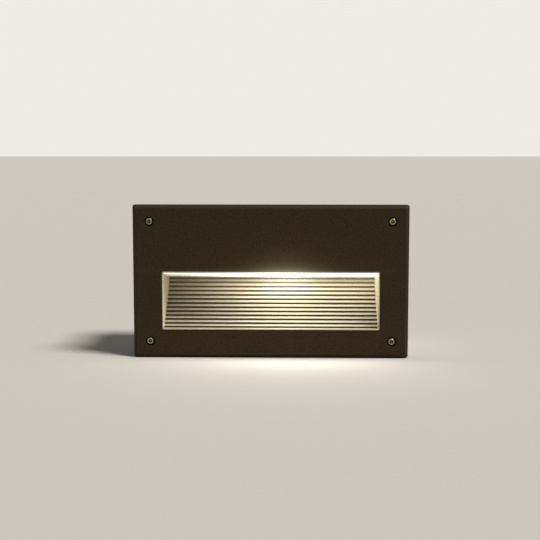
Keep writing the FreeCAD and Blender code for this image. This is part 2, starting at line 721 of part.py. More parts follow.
def make_scoop_screws():
    """Washer-headed screws that clamp the flange round each boss."""
    screws = []
    tip = FACE_Y + BOSS_HOLE_FLOOR + TIP_GAP
    washer_top = FLANGE_BACK_Y + FLANGE_HEAD_THICKNESS
    for x, z in scoop_boss_places():
        shank = rod_y(x, z, M3_RADIUS, tip, FLANGE_BACK_Y)
        washer = rod_y(x, z, FLANGE_HEAD_RADIUS, FLANGE_BACK_Y, washer_top)
        head = rod_y(x, z, M3_HEAD_RADIUS, washer_top, washer_top + M3_HEAD_HEIGHT)
        screws.append(joined([shank, washer, head]))
    return screws


# ---- front: lens -------------------------------------------------------------------------------
def lens_blank():
    """The lens's outline in its own axes, before its edges are broken."""
    half = LENS_HALF_WIDTH
    return soft_block(
        -half,
        half,
        LENS_FRONT,
        LENS_BACK,
        LENS_BOTTOM_N,
        LENS_TOP_N,
        LENS_CORNER_RADIUS,
        Vector(0, 0, 1),
    )


def make_lens():
    """A flat frosted glass with its edges broken."""
    blank = lens_blank()
    flat_edges = [edge for edge in blank.Edges if edge.BoundBox.ZLength < 0.01]
    return on_lens(blank.makeChamfer(LENS_ARRIS, flat_edges))


def make_lens_gasket():
    """A channel-shaped seal that wraps the edge of the lens."""
    half = LENS_HALF_WIDTH + SEAL_EDGE
    outside = soft_block(
        -half,
        half,
        LENS_FRONT - SEAL_EDGE,
        LENS_BACK + SEAL_EDGE,
        SEAT_N,
        SEAL_TOP_N,
        SEAL_CORNER_RADIUS,
        Vector(0, 0, 1),
    )
    open_half = LENS_HALF_WIDTH - SEAL_OVERLAP
    opening = block(
        -open_half,
        open_half,
        LENS_FRONT + SEAL_OVERLAP,
        LENS_BACK - SEAL_OVERLAP,
        SEAT_N,
        SEAL_TOP_N,
    )
    return on_lens(outside.cut([opening, lens_blank()]))


def make_lens_clips():
    """Z-shaped spring clips that press the seal down at the back."""
    bottom = clip_base_n()
    arm_top = SEAL_TOP_N + CLIP_THICKNESS
    leg = LENS_BACK + SEAL_EDGE + CLIP_GAP
    outline = [
        (LENS_BACK + SEAL_EDGE - CLIP_REACH, SEAL_TOP_N),
        (leg, SEAL_TOP_N),
        (leg, bottom),
        (leg + CLIP_FOOT, bottom),
        (leg + CLIP_FOOT, bottom + CLIP_THICKNESS),
        (leg + CLIP_THICKNESS, bottom + CLIP_THICKNESS),
        (leg + CLIP_THICKNESS, arm_top),
        (LENS_BACK + SEAL_EDGE - CLIP_REACH, arm_top),
    ]
    clips = []
    for x in spread(3, CLIP_PITCH):
        strip = prism_x(outline, x - CLIP_HALF_WIDTH, x + CLIP_HALF_WIDTH)
        hole = rod_z(x, clip_boss_u(), M3_RADIUS + THROUGH_CLEARANCE, bottom, arm_top)
        clips.append(on_lens(strip.cut(hole)))
    return clips


def make_lens_clip_screws():
    """Pan-headed screws through the lens clips."""
    screws = []
    seat = clip_base_n() + CLIP_THICKNESS
    tip = SEAT_N - CLIP_BOSS_ROOT + CLIP_BOSS_FLOOR + TIP_GAP
    for x in spread(3, CLIP_PITCH):
        shank = rod_z(x, clip_boss_u(), M3_RADIUS, tip, seat)
        head = rod_z(x, clip_boss_u(), CLIP_HEAD_RADIUS, seat, seat + M3_HEAD_HEIGHT)
        screws.append(on_lens(joined([shank, head])))
    return screws


# ---- face screws -------------------------------------------------------------------------------
def make_face_screw(x, z):
    """A low-headed screw with a thin shank, so that the retainer can hold it captive."""
    head = rod_y(x, z, HEAD_RADIUS, HEAD_TOP_Y, HEAD_SEAT_Y)
    rim = [edge for edge in head.Edges if abs(edge.BoundBox.YMax - HEAD_TOP_Y) < 0.01]
    head = head.makeFillet(HEAD_ROUND, rim)
    socket = hexagon_y(x, z, SOCKET_HEX, HEAD_TOP_Y, HEAD_TOP_Y + SOCKET_DEPTH)
    pin_top = HEAD_TOP_Y + SOCKET_PIN_DROP
    pin = rod_y(x, z, SOCKET_PIN_RADIUS, pin_top, HEAD_TOP_Y + SOCKET_DEPTH)
    shank = rod_y(x, z, SHANK_RADIUS, HEAD_SEAT_Y, THREAD_START_Y)
    thread = rod_y(x, z, THREAD_RADIUS, THREAD_START_Y, THREAD_START_Y + THREAD_LENGTH)
    tip = [edge for edge in thread.Edges if edge.BoundBox.YMin > THREAD_START_Y + 1]
    thread = thread.makeChamfer(THREAD_CHAMFER, tip)
    return joined([head.cut(socket.cut(pin)), shank, thread])


def make_face_washer(x, z):
    """The bonded sealing washer under one screw's head."""
    outside = rod_y(x, z, WASHER_RADIUS, HEAD_SEAT_Y, COUNTERBORE_Y)
    return outside.cut(rod_y(x, z, SHANK_RADIUS + WASHER_CLEARANCE, HEAD_SEAT_Y, COUNTERBORE_Y))


def make_screw_retainers():
    """Rings behind the plate that the threaded ends can't pass."""
    rings = []
    start = LAND_Y - RETAINER_THICKNESS
    for x, z in face_screw_places().values():
        ring = rod_y(x, z, RETAINER_RADIUS, start, LAND_Y)
        rings.append(ring.cut(rod_y(x, z, SHANK_RADIUS + RETAINER_CLEARANCE, start, LAND_Y)))
    return rings


# ---- box ---------------------------------------------------------------------------------------
def box_hollow():
    """The space inside the box, less the four screw columns."""
    width = BOX_WIDTH - 2 * BOX_WALL
    height = BOX_HEIGHT - 2 * BOX_WALL
    radius = BOX_CORNER_RADIUS - BOX_WALL
    mouth = (width, height, radius, BOX_RECESS)
    floor = (width - 2 * BOX_INNER_DRAFT, height - 2 * BOX_INNER_DRAFT, radius, BOX_FLOOR_Y)
    columns = [
        rod_y(x, z, COLUMN_RADIUS, BOX_RECESS, BOX_FLOOR_Y)
        for x, z in face_screw_places().values()
    ]
    return taper(mouth, floor).cut(columns)


def roof_pad_places():
    """Pads under the box's roof: two for the holder's bracket, two for the reflector."""
    foot_x = HOLDER_BACK_X + BRACKET_SCREW_X
    bracket = [(foot_x, LAMP_Y - BRACKET_WIDTH / 4), (foot_x, LAMP_Y + BRACKET_WIDTH / 4)]
    return bracket + [(x, LAMP_Y) for x in REFLECTOR_SCREW_XS]


def tray_screw_places():
    """Where the gear tray is screwed to the box's floor."""
    xs = (TRAY_X0 + TRAY_SCREW_INSET, TRAY_X1 - TRAY_SCREW_INSET)
    return [(x, z) for x in xs for z in (-TRAY_SCREW_Z, TRAY_SCREW_Z)]


def fixing_places():
    """Holes through the box's floor for screws into the structure behind."""
    x = FIXING_SPACING_X / 2
    z = FIXING_SPACING_Z / 2
    return [(x, z), (-x, z), (-x, -z), (x, -z)]


def make_back_box():
    """A drafted cast box with screw columns, threaded entries and pads for what it carries."""
    outside = taper(
        (BOX_WIDTH, BOX_HEIGHT, BOX_CORNER_RADIUS, BOX_RECESS),
        (
            BOX_WIDTH - 2 * BOX_OUTER_DRAFT,
            BOX_HEIGHT - 2 * BOX_OUTER_DRAFT,
            BOX_CORNER_RADIUS,
            BOX_BACK,
        ),
    )
    shell = outside.cut(box_hollow())
    inner_half = BOX_WIDTH / 2 - BOX_WALL
    hub_end = inner_half - HUB_INWARD
    added = [
        rod_x(SIDE_HUB_Y, SIDE_HUB_Z, HUB_RADIUS, -inner_half, -hub_end),
        rod_x(SIDE_HUB_Y, SIDE_HUB_Z, HUB_RADIUS, hub_end, inner_half),
        rod_y(REAR_HUB_X, REAR_HUB_Z, HUB_RADIUS, BOX_FLOOR_Y - HUB_INWARD, BOX_FLOOR_Y),
    ]
    roof = BOX_HEIGHT / 2 - BOX_WALL
    added += [rod_z(x, y, ROOF_PAD_RADIUS, ROOF_PAD_Z, roof) for x, y in roof_pad_places()]
    added += [
        rod_y(x, z, TRAY_PAD_RADIUS, TRAY_BACK_Y, BOX_FLOOR_Y) for x, z in tray_screw_places()
    ]
    body = joined([shell] + added)
    return body.cut(box_holes(hub_end))


def box_holes(hub_end):
    """Every hole in the box: entries, fixings, screw columns, roof and tray screws."""
    edge = BOX_WIDTH / 2 + 1
    holes = [
        rod_x(SIDE_HUB_Y, SIDE_HUB_Z, HUB_THREAD_RADIUS, -edge, -hub_end),
        rod_x(SIDE_HUB_Y, SIDE_HUB_Z, HUB_THREAD_RADIUS, hub_end, edge),
        rod_y(REAR_HUB_X, REAR_HUB_Z, HUB_THREAD_RADIUS, BOX_FLOOR_Y - HUB_INWARD, BOX_BACK),
    ]
    holes += [rod_y(x, z, FIXING_RADIUS, BOX_FLOOR_Y, BOX_BACK) for x, z in fixing_places()]
    for x, z in face_screw_places().values():
        thread_end = COLUMN_THREAD_Y + COLUMN_THREAD_DEPTH
        holes.append(rod_y(x, z, SEAL_HOLE_RADIUS, BOX_RECESS, COLUMN_THREAD_Y))
        holes.append(rod_y(x, z, THREAD_RADIUS + THREAD_CLEARANCE, COLUMN_THREAD_Y, thread_end))
    small = M3_RADIUS + TAPPED_CLEARANCE
    top = ROOF_PAD_Z + ROOF_SCREW_DEPTH
    holes += [rod_z(x, y, small, ROOF_PAD_Z, top) for x, y in roof_pad_places()]
    tray = M4_RADIUS + TAPPED_CLEARANCE
    floor = BOX_FLOOR_Y + TRAY_TAP_DEPTH
    holes += [rod_y(x, z, tray, TRAY_BACK_Y, floor) for x, z in tray_screw_places()]
    return holes


def make_conduit_plugs():
    """Threaded plugs with a hexagon socket, in the right and rear entries."""
    radius = HUB_THREAD_RADIUS - PLUG_CLEARANCE
    plug = rod_y(0, 0, radius, 0, PLUG_LENGTH)
    plug = plug.cut(hexagon_y(0, 0, PLUG_HEX, PLUG_LENGTH - PLUG_SOCKET_DEPTH, PLUG_LENGTH))
    rear = plug.copy()
    rear.translate(Vector(REAR_HUB_X, BOX_BACK - PLUG_LENGTH, REAR_HUB_Z))
    side = plug.copy()
    side.rotate(Vector(0, 0, 0), Vector(0, 0, 1), -90)
    outer_x = BOX_WIDTH / 2 - BOX_OUTER_DRAFT
    side.translate(Vector(outer_x - PLUG_LENGTH, SIDE_HUB_Y, SIDE_HUB_Z))
    return [side, rear]


# ---- lamp --------------------------------------------------------------------------------------
def tube_ys():
    """The two tube centres."""
    return [LAMP_Y - TUBE_PITCH / 2, LAMP_Y + TUBE_PITCH / 2]


def make_lamp_tubes():
    """Two glass tubes with domed tips and a short bridge between them."""
    end = TUBE_START_X + TUBE_LENGTH
    pieces = []
    for y in tube_ys():
        pieces.append(rod_x(y, LAMP_Z, TUBE_RADIUS, TUBE_START_X, end - TUBE_RADIUS))
        pieces.append(Part.makeSphere(TUBE_RADIUS, Vector(end - TUBE_RADIUS, y, LAMP_Z)))
    first, last = tube_ys()
    pieces.append(rod_y(end - BRIDGE_FROM_TIP, LAMP_Z, BRIDGE_RADIUS, first, last))
    return joined(pieces)


def make_lamp_base():
    """The moulded cap with the starter block that plugs into the holder."""
    cap = soft_block(
        LAMP_PLANE_X,
        TUBE_START_X,
        LAMP_Y - BASE_WIDTH / 2,
        LAMP_Y + BASE_WIDTH / 2,
        LAMP_Z - BASE_HEIGHT / 2,
        LAMP_Z + BASE_HEIGHT / 2,
        BASE_CORNER_RADIUS,
        Vector(1, 0, 0),
    )
    nose = soft_block(
        LAMP_PLANE_X - NOSE_LENGTH,
        LAMP_PLANE_X,
        LAMP_Y - NOSE_WIDTH / 2,
        LAMP_Y + NOSE_WIDTH / 2,
        LAMP_Z - NOSE_HEIGHT / 2,
        LAMP_Z + NOSE_HEIGHT / 2,
        NOSE_CORNER_RADIUS,
        Vector(1, 0, 0),
    )
    return joined([cap, nose])


def pin_ys():
    """The two contact pins' places."""
    return [LAMP_Y - PIN_PITCH / 2, LAMP_Y + PIN_PITCH / 2]


def make_lamp_pins():
    """The two brass contact pins with rounded tips."""
    pins = []
    for y in pin_ys():
        pin = rod_x(y, LAMP_Z, PIN_RADIUS, LAMP_PLANE_X - PIN_LENGTH, LAMP_PLANE_X)
        tip = [edge for edge in pin.Edges if edge.BoundBox.XMax < LAMP_PLANE_X - 1]
        pins.append(pin.makeFillet(PIN_TIP_ROUND, tip))
    return pins


# ---- lampholder --------------------------------------------------------------------------------
def holder_screw_ys():
    """The holder's two screws."""
    return [LAMP_Y - HOLDER_SCREW_PITCH / 2, LAMP_Y + HOLDER_SCREW_PITCH / 2]


def holder_lead_places():
    """Where the two leads enter the back of the holder, as (x, z)."""
    return [(HOLDER_BACK_X + HOLDER_ENTRY_X, LAMP_Z + z) for z in spread(2, HOLDER_ENTRY_PITCH)]


def make_lampholder():
    """The holder: socket for the starter block, two pin holes, push-in lead entries."""
    back_y = LAMP_Y + HOLDER_WIDTH / 2
    body = soft_block(
        HOLDER_BACK_X,
        LAMP_PLANE_X,
        LAMP_Y - HOLDER_WIDTH / 2,
        back_y,
        LAMP_Z - HOLDER_HEIGHT / 2,
        LAMP_Z + HOLDER_HEIGHT / 2,
        HOLDER_CORNER_RADIUS,
        Vector(1, 0, 0),
    )
    half_width = NOSE_WIDTH / 2 + NOSE_CLEARANCE
    half_height = NOSE_HEIGHT / 2 + NOSE_CLEARANCE
    socket_x = LAMP_PLANE_X - NOSE_LENGTH - NOSE_BOTTOM_GAP
    cuts = [
        block(
            socket_x,
            LAMP_PLANE_X,
            LAMP_Y - half_width,
            LAMP_Y + half_width,
            LAMP_Z - half_height,
            LAMP_Z + half_height,
        )
    ]
    hole = PIN_RADIUS + PIN_CLEARANCE + SLEEVE_WALL
    bottom = LAMP_PLANE_X - PIN_LENGTH - PIN_HOLE_GAP
    cuts += [rod_x(y, LAMP_Z, hole, bottom, LAMP_PLANE_X) for y in pin_ys()]
    tapped = M3_RADIUS + TAPPED_CLEARANCE
    screw_end = HOLDER_BACK_X + HOLDER_SCREW_DEPTH
    cuts += [rod_x(y, LAMP_Z, tapped, HOLDER_BACK_X, screw_end) for y in holder_screw_ys()]
    entry = LEAD_RADIUS + LEAD_ENTRY_CLEARANCE
    cuts += [rod_y(x, z, entry, back_y - LEAD_ENTRY_DEPTH, back_y) for x, z in holder_lead_places()]
    return body.cut(cuts)


def make_lampholder_contacts():
    """Brass sleeves that grip the pins."""
    sleeves = []
    for y in pin_ys():
        x0 = LAMP_PLANE_X - PIN_LENGTH - PIN_HOLE_GAP
        x1 = LAMP_PLANE_X - SLEEVE_INSET
        outside = rod_x(y, LAMP_Z, PIN_RADIUS + PIN_CLEARANCE + SLEEVE_WALL, x0, x1)
        sleeves.append(outside.cut(rod_x(y, LAMP_Z, PIN_RADIUS + PIN_CLEARANCE, x0, x1)))
    return sleeves


def make_lampholder_bracket():
    """A bent strip that hangs the holder from the roof of the box."""
    leg = block(
        HOLDER_BACK_X - SHEET,
        HOLDER_BACK_X,
        LAMP_Y - HOLDER_WIDTH / 2,
        LAMP_Y + HOLDER_WIDTH / 2,
        LAMP_Z - HOLDER_HEIGHT / 2,
        ROOF_PAD_Z,
    )
    foot = block(
        HOLDER_BACK_X - SHEET,
        HOLDER_BACK_X + BRACKET_FOOT,
        LAMP_Y - BRACKET_WIDTH / 2,
        LAMP_Y + BRACKET_WIDTH / 2,
        ROOF_PAD_Z - SHEET,
        ROOF_PAD_Z,
    )
    hole = M3_RADIUS + THROUGH_CLEARANCE
    cuts = [
        rod_x(y, LAMP_Z, hole, HOLDER_BACK_X - SHEET, HOLDER_BACK_X) for y in holder_screw_ys()
    ]
    cuts += [rod_z(x, y, hole, ROOF_PAD_Z - SHEET, ROOF_PAD_Z) for x, y in roof_pad_places()[:2]]
    return joined([leg, foot]).cut(cuts)


def make_lampholder_screws():
    """Screws from behind the bracket into the holder."""
    screws = []
    for y in holder_screw_ys():
        seat = HOLDER_BACK_X - SHEET
        tip = HOLDER_BACK_X + HOLDER_SCREW_DEPTH - TIP_GAP
        shank = rod_x(y, LAMP_Z, M3_RADIUS, seat, tip)
        head = rod_x(y, LAMP_Z, M3_HEAD_RADIUS, seat - M3_HEAD_HEIGHT, seat)
        screws.append(joined([shank, head]))
    return screws


def roof_screw(x, y, seat):
    """A screw that goes up into one of the roof pads."""
    shank = rod_z(x, y, M3_RADIUS, seat, ROOF_PAD_Z + ROOF_SCREW_DEPTH - TIP_GAP)
    head = rod_z(x, y, M3_HEAD_RADIUS, seat - M3_HEAD_HEIGHT, seat)
    return joined([shank, head])


def make_bracket_screws():
    """Screws that hold the holder's bracket to the roof."""
    return [roof_screw(x, y, ROOF_PAD_Z - SHEET) for x, y in roof_pad_places()[:2]]


# ---- reflector ---------------------------------------------------------------------------------
def reflector_outline(inset):
    """The reflector's bent section, moved inwards by inset."""
    slope = REFLECTOR_SLOPE - inset * (math.sqrt(2) - 1)
    front = REFLECTOR_FRONT_Y + inset
    back = REFLECTOR_BACK_Y - inset
    top = ROOF_PAD_Z - inset
    shoulder = top - slope
    return [
        (front, REFLECTOR_FRONT_Z),
        (front, shoulder),
        (front + slope, top),
        (back - slope, top),
        (back, shoulder),
        (back, REFLECTOR_REAR_Z),
    ]


def make_reflector():
    """Bright sheet folded over the lamp, open towards the lens."""
    outside = reflector_outline(0)
    inside = reflector_outline(REFLECTOR_SHEET)
    sheet = prism_x(outside + inside[::-1], REFLECTOR_X0, REFLECTOR_X1)
    hole = M3_RADIUS + THROUGH_CLEARANCE
    places = roof_pad_places()[2:]
    cuts = [rod_z(x, y, hole, ROOF_PAD_Z - REFLECTOR_SHEET, ROOF_PAD_Z) for x, y in places]
    return sheet.cut(cuts)


def make_reflector_screws():
    """Screws that hold the reflector to the roof."""
    seat = ROOF_PAD_Z - REFLECTOR_SHEET
    return [roof_screw(x, y, seat) for x, y in roof_pad_places()[2:]]


def make_lamp_clip():
    """A moulded snap clip that steadies the far end of the tubes."""
    x0 = LAMP_CLIP_X
    x1 = LAMP_CLIP_X + LAMP_CLIP_LENGTH
    bore = TUBE_RADIUS + LAMP_CLIP_CLEARANCE
    half = TUBE_PITCH / 2 + bore + LAMP_CLIP_WALL
    top = LAMP_Z + bore + LAMP_CLIP_WALL
    jaw = soft_block(
        x0,
        x1,
        LAMP_Y - half,
        LAMP_Y + half,
        LAMP_Z - LAMP_CLIP_JAW,
        top,
        LAMP_CLIP_CORNER_RADIUS,
        Vector(1, 0, 0),
    )
    stem_top = ROOF_PAD_Z - REFLECTOR_SHEET
    stem = block(
        x0, x1, LAMP_Y - LAMP_CLIP_STEM / 2, LAMP_Y + LAMP_CLIP_STEM / 2, top - 1, stem_top
    )
    bores = [rod_x(y, LAMP_Z, bore, x0, x1) for y in tube_ys()]
    return joined([jaw, stem]).cut(bores)


# ---- control gear ------------------------------------------------------------------------------
def window_zs():
    """The four z levels of the core's two windows, from the bottom up."""
    outer = CORE_HEIGHT / 2 - CORE_LEG
    inner = CORE_CENTRE_LEG / 2
    return [CORE_CENTRE_Z + level for level in (-outer, -inner, inner, outer)]


def coil_box(inset_x):
    """The coil's outside, with clearance in the core's windows."""
    low, _, _, high = window_zs()
    return block(
        CORE_X0 + CORE_YOKE + inset_x,
        CORE_X1 - CORE_YOKE - inset_x,
        CORE_Y0 - COIL_BULGE,
        TRAY_FRONT_Y + COIL_BULGE,
        low + COIL_CLEARANCE,
        high - COIL_CLEARANCE,
    )


def centre_leg(wall):
    """The core's centre leg, grown by a wall on each side."""
    _, low, high, _ = window_zs()
    return block(CORE_X0, CORE_X1, CORE_Y0 - wall, TRAY_FRONT_Y + wall, low - wall, high + wall)


def make_ballast_core():
    """The stacked steel core with its two coil windows."""
    low_out, low_in, high_in, high_out = window_zs()
    half = CORE_HEIGHT / 2
    body = block(
        CORE_X0, CORE_X1, CORE_Y0, TRAY_FRONT_Y, CORE_CENTRE_Z - half, CORE_CENTRE_Z + half
    )
    x0 = CORE_X0 + CORE_YOKE
    x1 = CORE_X1 - CORE_YOKE
    windows = [
        block(x0, x1, CORE_Y0, TRAY_FRONT_Y, low_out, low_in),
        block(x0, x1, CORE_Y0, TRAY_FRONT_Y, high_in, high_out),
    ]
    return body.cut(windows)


def make_ballast_bobbin():
    """The moulded former: a sleeve on the centre leg with a flange at each end."""
    outside = coil_box(0)
    wire_space = coil_box(BOBBIN_FLANGE).cut(centre_leg(BOBBIN_WALL))
    return outside.cut([wire_space, centre_leg(0)])


def make_ballast_winding():
    """The wire that fills the former."""
    coil = coil_box(BOBBIN_FLANGE)
    coil = coil.makeFillet(COIL_CORNER_RADIUS, edges_along(coil, Vector(1, 0, 0)))
    return coil.cut(centre_leg(BOBBIN_WALL))


def grip_screw_xs():
    """The two screws that hold the ballast down."""
    reach = SHEET + GRIP_FOOT / 2
    return [CORE_X0 - reach, CORE_X1 + reach]


def make_ballast_brackets():
    """Folded brackets that hook over the core's ends."""
    left = [
        (CORE_X0, TRAY_FRONT_Y),
        (CORE_X0 - SHEET - GRIP_FOOT, TRAY_FRONT_Y),
        (CORE_X0 - SHEET - GRIP_FOOT, TRAY_FRONT_Y - SHEET),
        (CORE_X0 - SHEET, TRAY_FRONT_Y - SHEET),
        (CORE_X0 - SHEET, CORE_Y0 - SHEET),
        (CORE_X0 + GRIP_FOLD, CORE_Y0 - SHEET),
        (CORE_X0 + GRIP_FOLD, CORE_Y0),
        (CORE_X0, CORE_Y0),
    ]
    z0 = CORE_CENTRE_Z - GRIP_WIDTH / 2
    z1 = CORE_CENTRE_Z + GRIP_WIDTH / 2
    right = [(CORE_X0 + CORE_X1 - x, y) for x, y in left]
    brackets = []
    for outline, screw_x in zip((left, right), grip_screw_xs()):
        hole = rod_y(
            screw_x, CORE_CENTRE_Z, M3_RADIUS + THROUGH_CLEARANCE, TRAY_FRONT_Y - SHEET, TRAY_FRONT_Y
        )
        brackets.append(prism_z(outline, z0, z1).cut(hole))
    return brackets


def tray_screw(x, z, seat, radius, head_radius, tip):
    """A screw that goes back through the tray."""
    shank = rod_y(x, z, radius, seat, tip)
    head = rod_y(x, z, head_radius, seat - M3_HEAD_HEIGHT, seat)
    return joined([shank, head])


def make_ballast_screws():
    """Screws through the ballast's brackets into the tray."""
    seat = TRAY_FRONT_Y - SHEET
    return [
        tray_screw(x, CORE_CENTRE_Z, seat, M3_RADIUS, M3_HEAD_RADIUS, TRAY_BACK_Y + TRAY_SCREW_REACH)
        for x in grip_screw_xs()
    ]


def make_gear_tray():
    """A steel tray with folded edges, cut out behind the coil."""
    sheet = block(TRAY_X0, TRAY_X1, TRAY_FRONT_Y, TRAY_BACK_Y, -TRAY_Z, TRAY_Z)
    flange_y = TRAY_BACK_Y - TRAY_FLANGE
    lower = block(TRAY_X0, TRAY_X1, flange_y, TRAY_BACK_Y, -TRAY_Z, -TRAY_Z + SHEET)
    upper = block(TRAY_X0, TRAY_X1, flange_y, TRAY_BACK_Y, TRAY_Z - SHEET, TRAY_Z)
    low, _, _, high = window_zs()
    cuts = [
        block(
            CORE_X0 + CORE_YOKE - TRAY_CUT_CLEARANCE,
            CORE_X1 - CORE_YOKE + TRAY_CUT_CLEARANCE,
            TRAY_FRONT_Y,
            TRAY_BACK_Y,
            low - TRAY_CUT_CLEARANCE,
            high + TRAY_CUT_CLEARANCE,
        )
    ]
    through = M4_RADIUS + THROUGH_CLEARANCE
    cuts += [rod_y(x, z, through, TRAY_FRONT_Y, TRAY_BACK_Y) for x, z in tray_screw_places()]
    tapped = M3_RADIUS + TAPPED_CLEARANCE
    small = [(x, CORE_CENTRE_Z) for x in grip_screw_xs()]
    small += [(x, BLOCK_CENTRE_Z) for x in block_screw_xs()]
    small.append((GROUND_X, GROUND_Z))
    cuts += [rod_y(x, z, tapped, TRAY_FRONT_Y, TRAY_BACK_Y) for x, z in small]
    return joined([sheet, lower, upper]).cut(cuts)


def make_gear_tray_screws():
    """Screws that hold the tray to the box's floor."""
    return [
        tray_screw(
            x, z, TRAY_FRONT_Y, M4_RADIUS, M4_HEAD_RADIUS, BOX_FLOOR_Y + TRAY_TAP_DEPTH - TIP_GAP
        )
        for x, z in tray_screw_places()
    ]


# ---- terminal block ----------------------------------------------------------------------------
def pole_xs():
    """The terminal block's poles."""
    return [BLOCK_CENTRE_X + x for x in spread(POLE_COUNT, POLE_PITCH)]


def block_screw_xs():
    """The block's fixing screws stand between its poles."""
    return [BLOCK_CENTRE_X + x for x in spread(POLE_COUNT - 1, POLE_PITCH)]


def clamp_body(x):
    """The outside of one brass clamp."""
    y0 = BLOCK_Y0 + WELL_DEPTH
    return block(
        x - CLAMP_WIDTH / 2,
        x + CLAMP_WIDTH / 2,
        y0,
        y0 + CLAMP_DEPTH,
        BLOCK_CENTRE_Z - CLAMP_LENGTH / 2,
        BLOCK_CENTRE_Z + CLAMP_LENGTH / 2,
    )


def make_terminal_block():
    """The moulded block with a screw well and two wire entries at each pole."""
    low = BLOCK_CENTRE_Z - BLOCK_HEIGHT / 2
    high = BLOCK_CENTRE_Z + BLOCK_HEIGHT / 2
    body = soft_block(
        BLOCK_CENTRE_X - BLOCK_LENGTH / 2,
        BLOCK_CENTRE_X + BLOCK_LENGTH / 2,
        BLOCK_Y0,
        TRAY_FRONT_Y,
        low,
        high,
        BLOCK_CORNER_RADIUS,
        Vector(0, 1, 0),
    )
    cuts = []
    entry = LEAD_RADIUS + LEAD_ENTRY_CLEARANCE
    for x in pole_xs():
        cuts.append(rod_y(x, BLOCK_CENTRE_Z, WELL_RADIUS, BLOCK_Y0, BLOCK_Y0 + WELL_DEPTH))
        cuts.append(clamp_body(x))
        cuts.append(rod_z(x, WIRE_Y, entry, low, high))
    through = M3_RADIUS + THROUGH_CLEARANCE
    cuts += [
        rod_y(x, BLOCK_CENTRE_Z, through, BLOCK_Y0, TRAY_FRONT_Y) for x in block_screw_xs()
    ]
    return body.cut(cuts)


def make_terminal_clamps():
    """Brass clamps, bored for the wire and tapped for the screw."""
    clamps = []
    for x in pole_xs():
        body = clamp_body(x)
        bore = rod_z(x, WIRE_Y, CLAMP_BORE, body.BoundBox.ZMin, body.BoundBox.ZMax)
        tapped = rod_y(
            x, BLOCK_CENTRE_Z, CLAMP_SCREW_RADIUS + TAPPED_CLEARANCE, body.BoundBox.YMin, WIRE_Y
        )
        clamps.append(body.cut([bore, tapped]))
    return clamps


def make_terminal_screws():
    """The clamp screws, down in their wells."""
    screws = []
    seat = BLOCK_Y0 + WELL_DEPTH - CLAMP_HEAD_LIFT
    top = seat - CLAMP_HEAD_HEIGHT
    half_length = CLAMP_SLOT_LENGTH / 2
    half_width = CLAMP_SLOT_WIDTH / 2
    for x in pole_xs():
        head = rod_y(x, BLOCK_CENTRE_Z, WELL_RADIUS - CLAMP_HEAD_GAP, top, seat)
        slot = block(
            x - half_length,
            x + half_length,
            top,
            top + CLAMP_SLOT_DEPTH,
            BLOCK_CENTRE_Z - half_width,
            BLOCK_CENTRE_Z + half_width,
        )
        shank = rod_y(x, BLOCK_CENTRE_Z, CLAMP_SCREW_RADIUS, seat, WIRE_Y - CLAMP_BORE)
        screws.append(joined([head.cut(slot), shank]))
    return screws


def make_terminal_block_screws():
    """Screws that hold the terminal block to the tray."""
    return [
        tray_screw(
            x, BLOCK_CENTRE_Z, BLOCK_Y0, M3_RADIUS, BLOCK_HEAD_RADIUS, TRAY_BACK_Y + TRAY_SCREW_REACH
        )
        for x in block_screw_xs()
    ]


# ---- leads -------------------------------------------------------------------------------------
def lead(name, points):
    """An insulated lead: straight runs joined by the largest tangent arcs the runs allow."""
    corners = [Vector(*point) for point in points]
    edges = []
    here = corners[0]
    radii = []
    for before, corner, after in zip(corners, corners[1:], corners[2:]):
        back = (before - corner).normalize()
        on = (after - corner).normalize()
        half_turn = (math.pi - back.getAngle(on)) / 2
        tangent = 0.45 * min((before - corner).Length, (after - corner).Length)
        radius = tangent / math.tan(half_turn)
        start = corner + back * tangent
        end = corner + on * tangent
        middle = (back + on).normalize()
        centre = corner + middle * (radius / math.cos(half_turn))
        crest = centre - middle * radius
        edges.append(Part.LineSegment(here, start).toShape())
        edges.append(Part.Arc(start, crest, end).toShape())
        here = end
        radii.append(radius)
    edges.append(Part.LineSegment(here, corners[-1]).toShape())
    path = Part.Wire(edges)
    section = Part.Wire(Part.makeCircle(LEAD_RADIUS, corners[0], corners[1] - corners[0]))
    tube = path.makePipeShell([section], True, False)
    expected = math.pi * LEAD_RADIUS ** 2 * path.Length
    print(name, "length", round(path.Length, 1), "radii", [round(r, 1) for r in radii])
    print(name, "volume over section times length", round(tube.Volume / expected, 4))
    return tube


def coil_exit(side):
    """The point on the coil's front where its lower (-1) or upper (1) lead comes out."""
    x = CORE_X0 + CORE_YOKE + COIL_LEAD_X
    return x, CORE_Y0 - COIL_BULGE, CORE_CENTRE_Z + side * COIL_LEAD_Z


def make_ballast_lead():
    """From the terminal block's right pole, under the block, to the ballast's coil."""
    x = pole_xs()[-1]
    low = BLOCK_CENTRE_Z - BLOCK_HEIGHT / 2
    end_x, end_y, end_z = coil_exit(-1)
    points = [
        (x, WIRE_Y, low + LEAD_ENTRY_DEPTH),
        (x, WIRE_Y, low - 5),
        (x + 6, WIRE_Y - 4.5, low - 10.5),
        (x + 16, WIRE_Y - 12, low - 12),
        (x + 27, end_y - 6, low - 8),
        (end_x - 15, end_y - 14.5, end_z - 4),
        (end_x - 6, end_y - 13, end_z - 0.8),
        (end_x, end_y - 7, end_z),
        (end_x, end_y, end_z),
    ]
    return lead("ballast_lead", points)


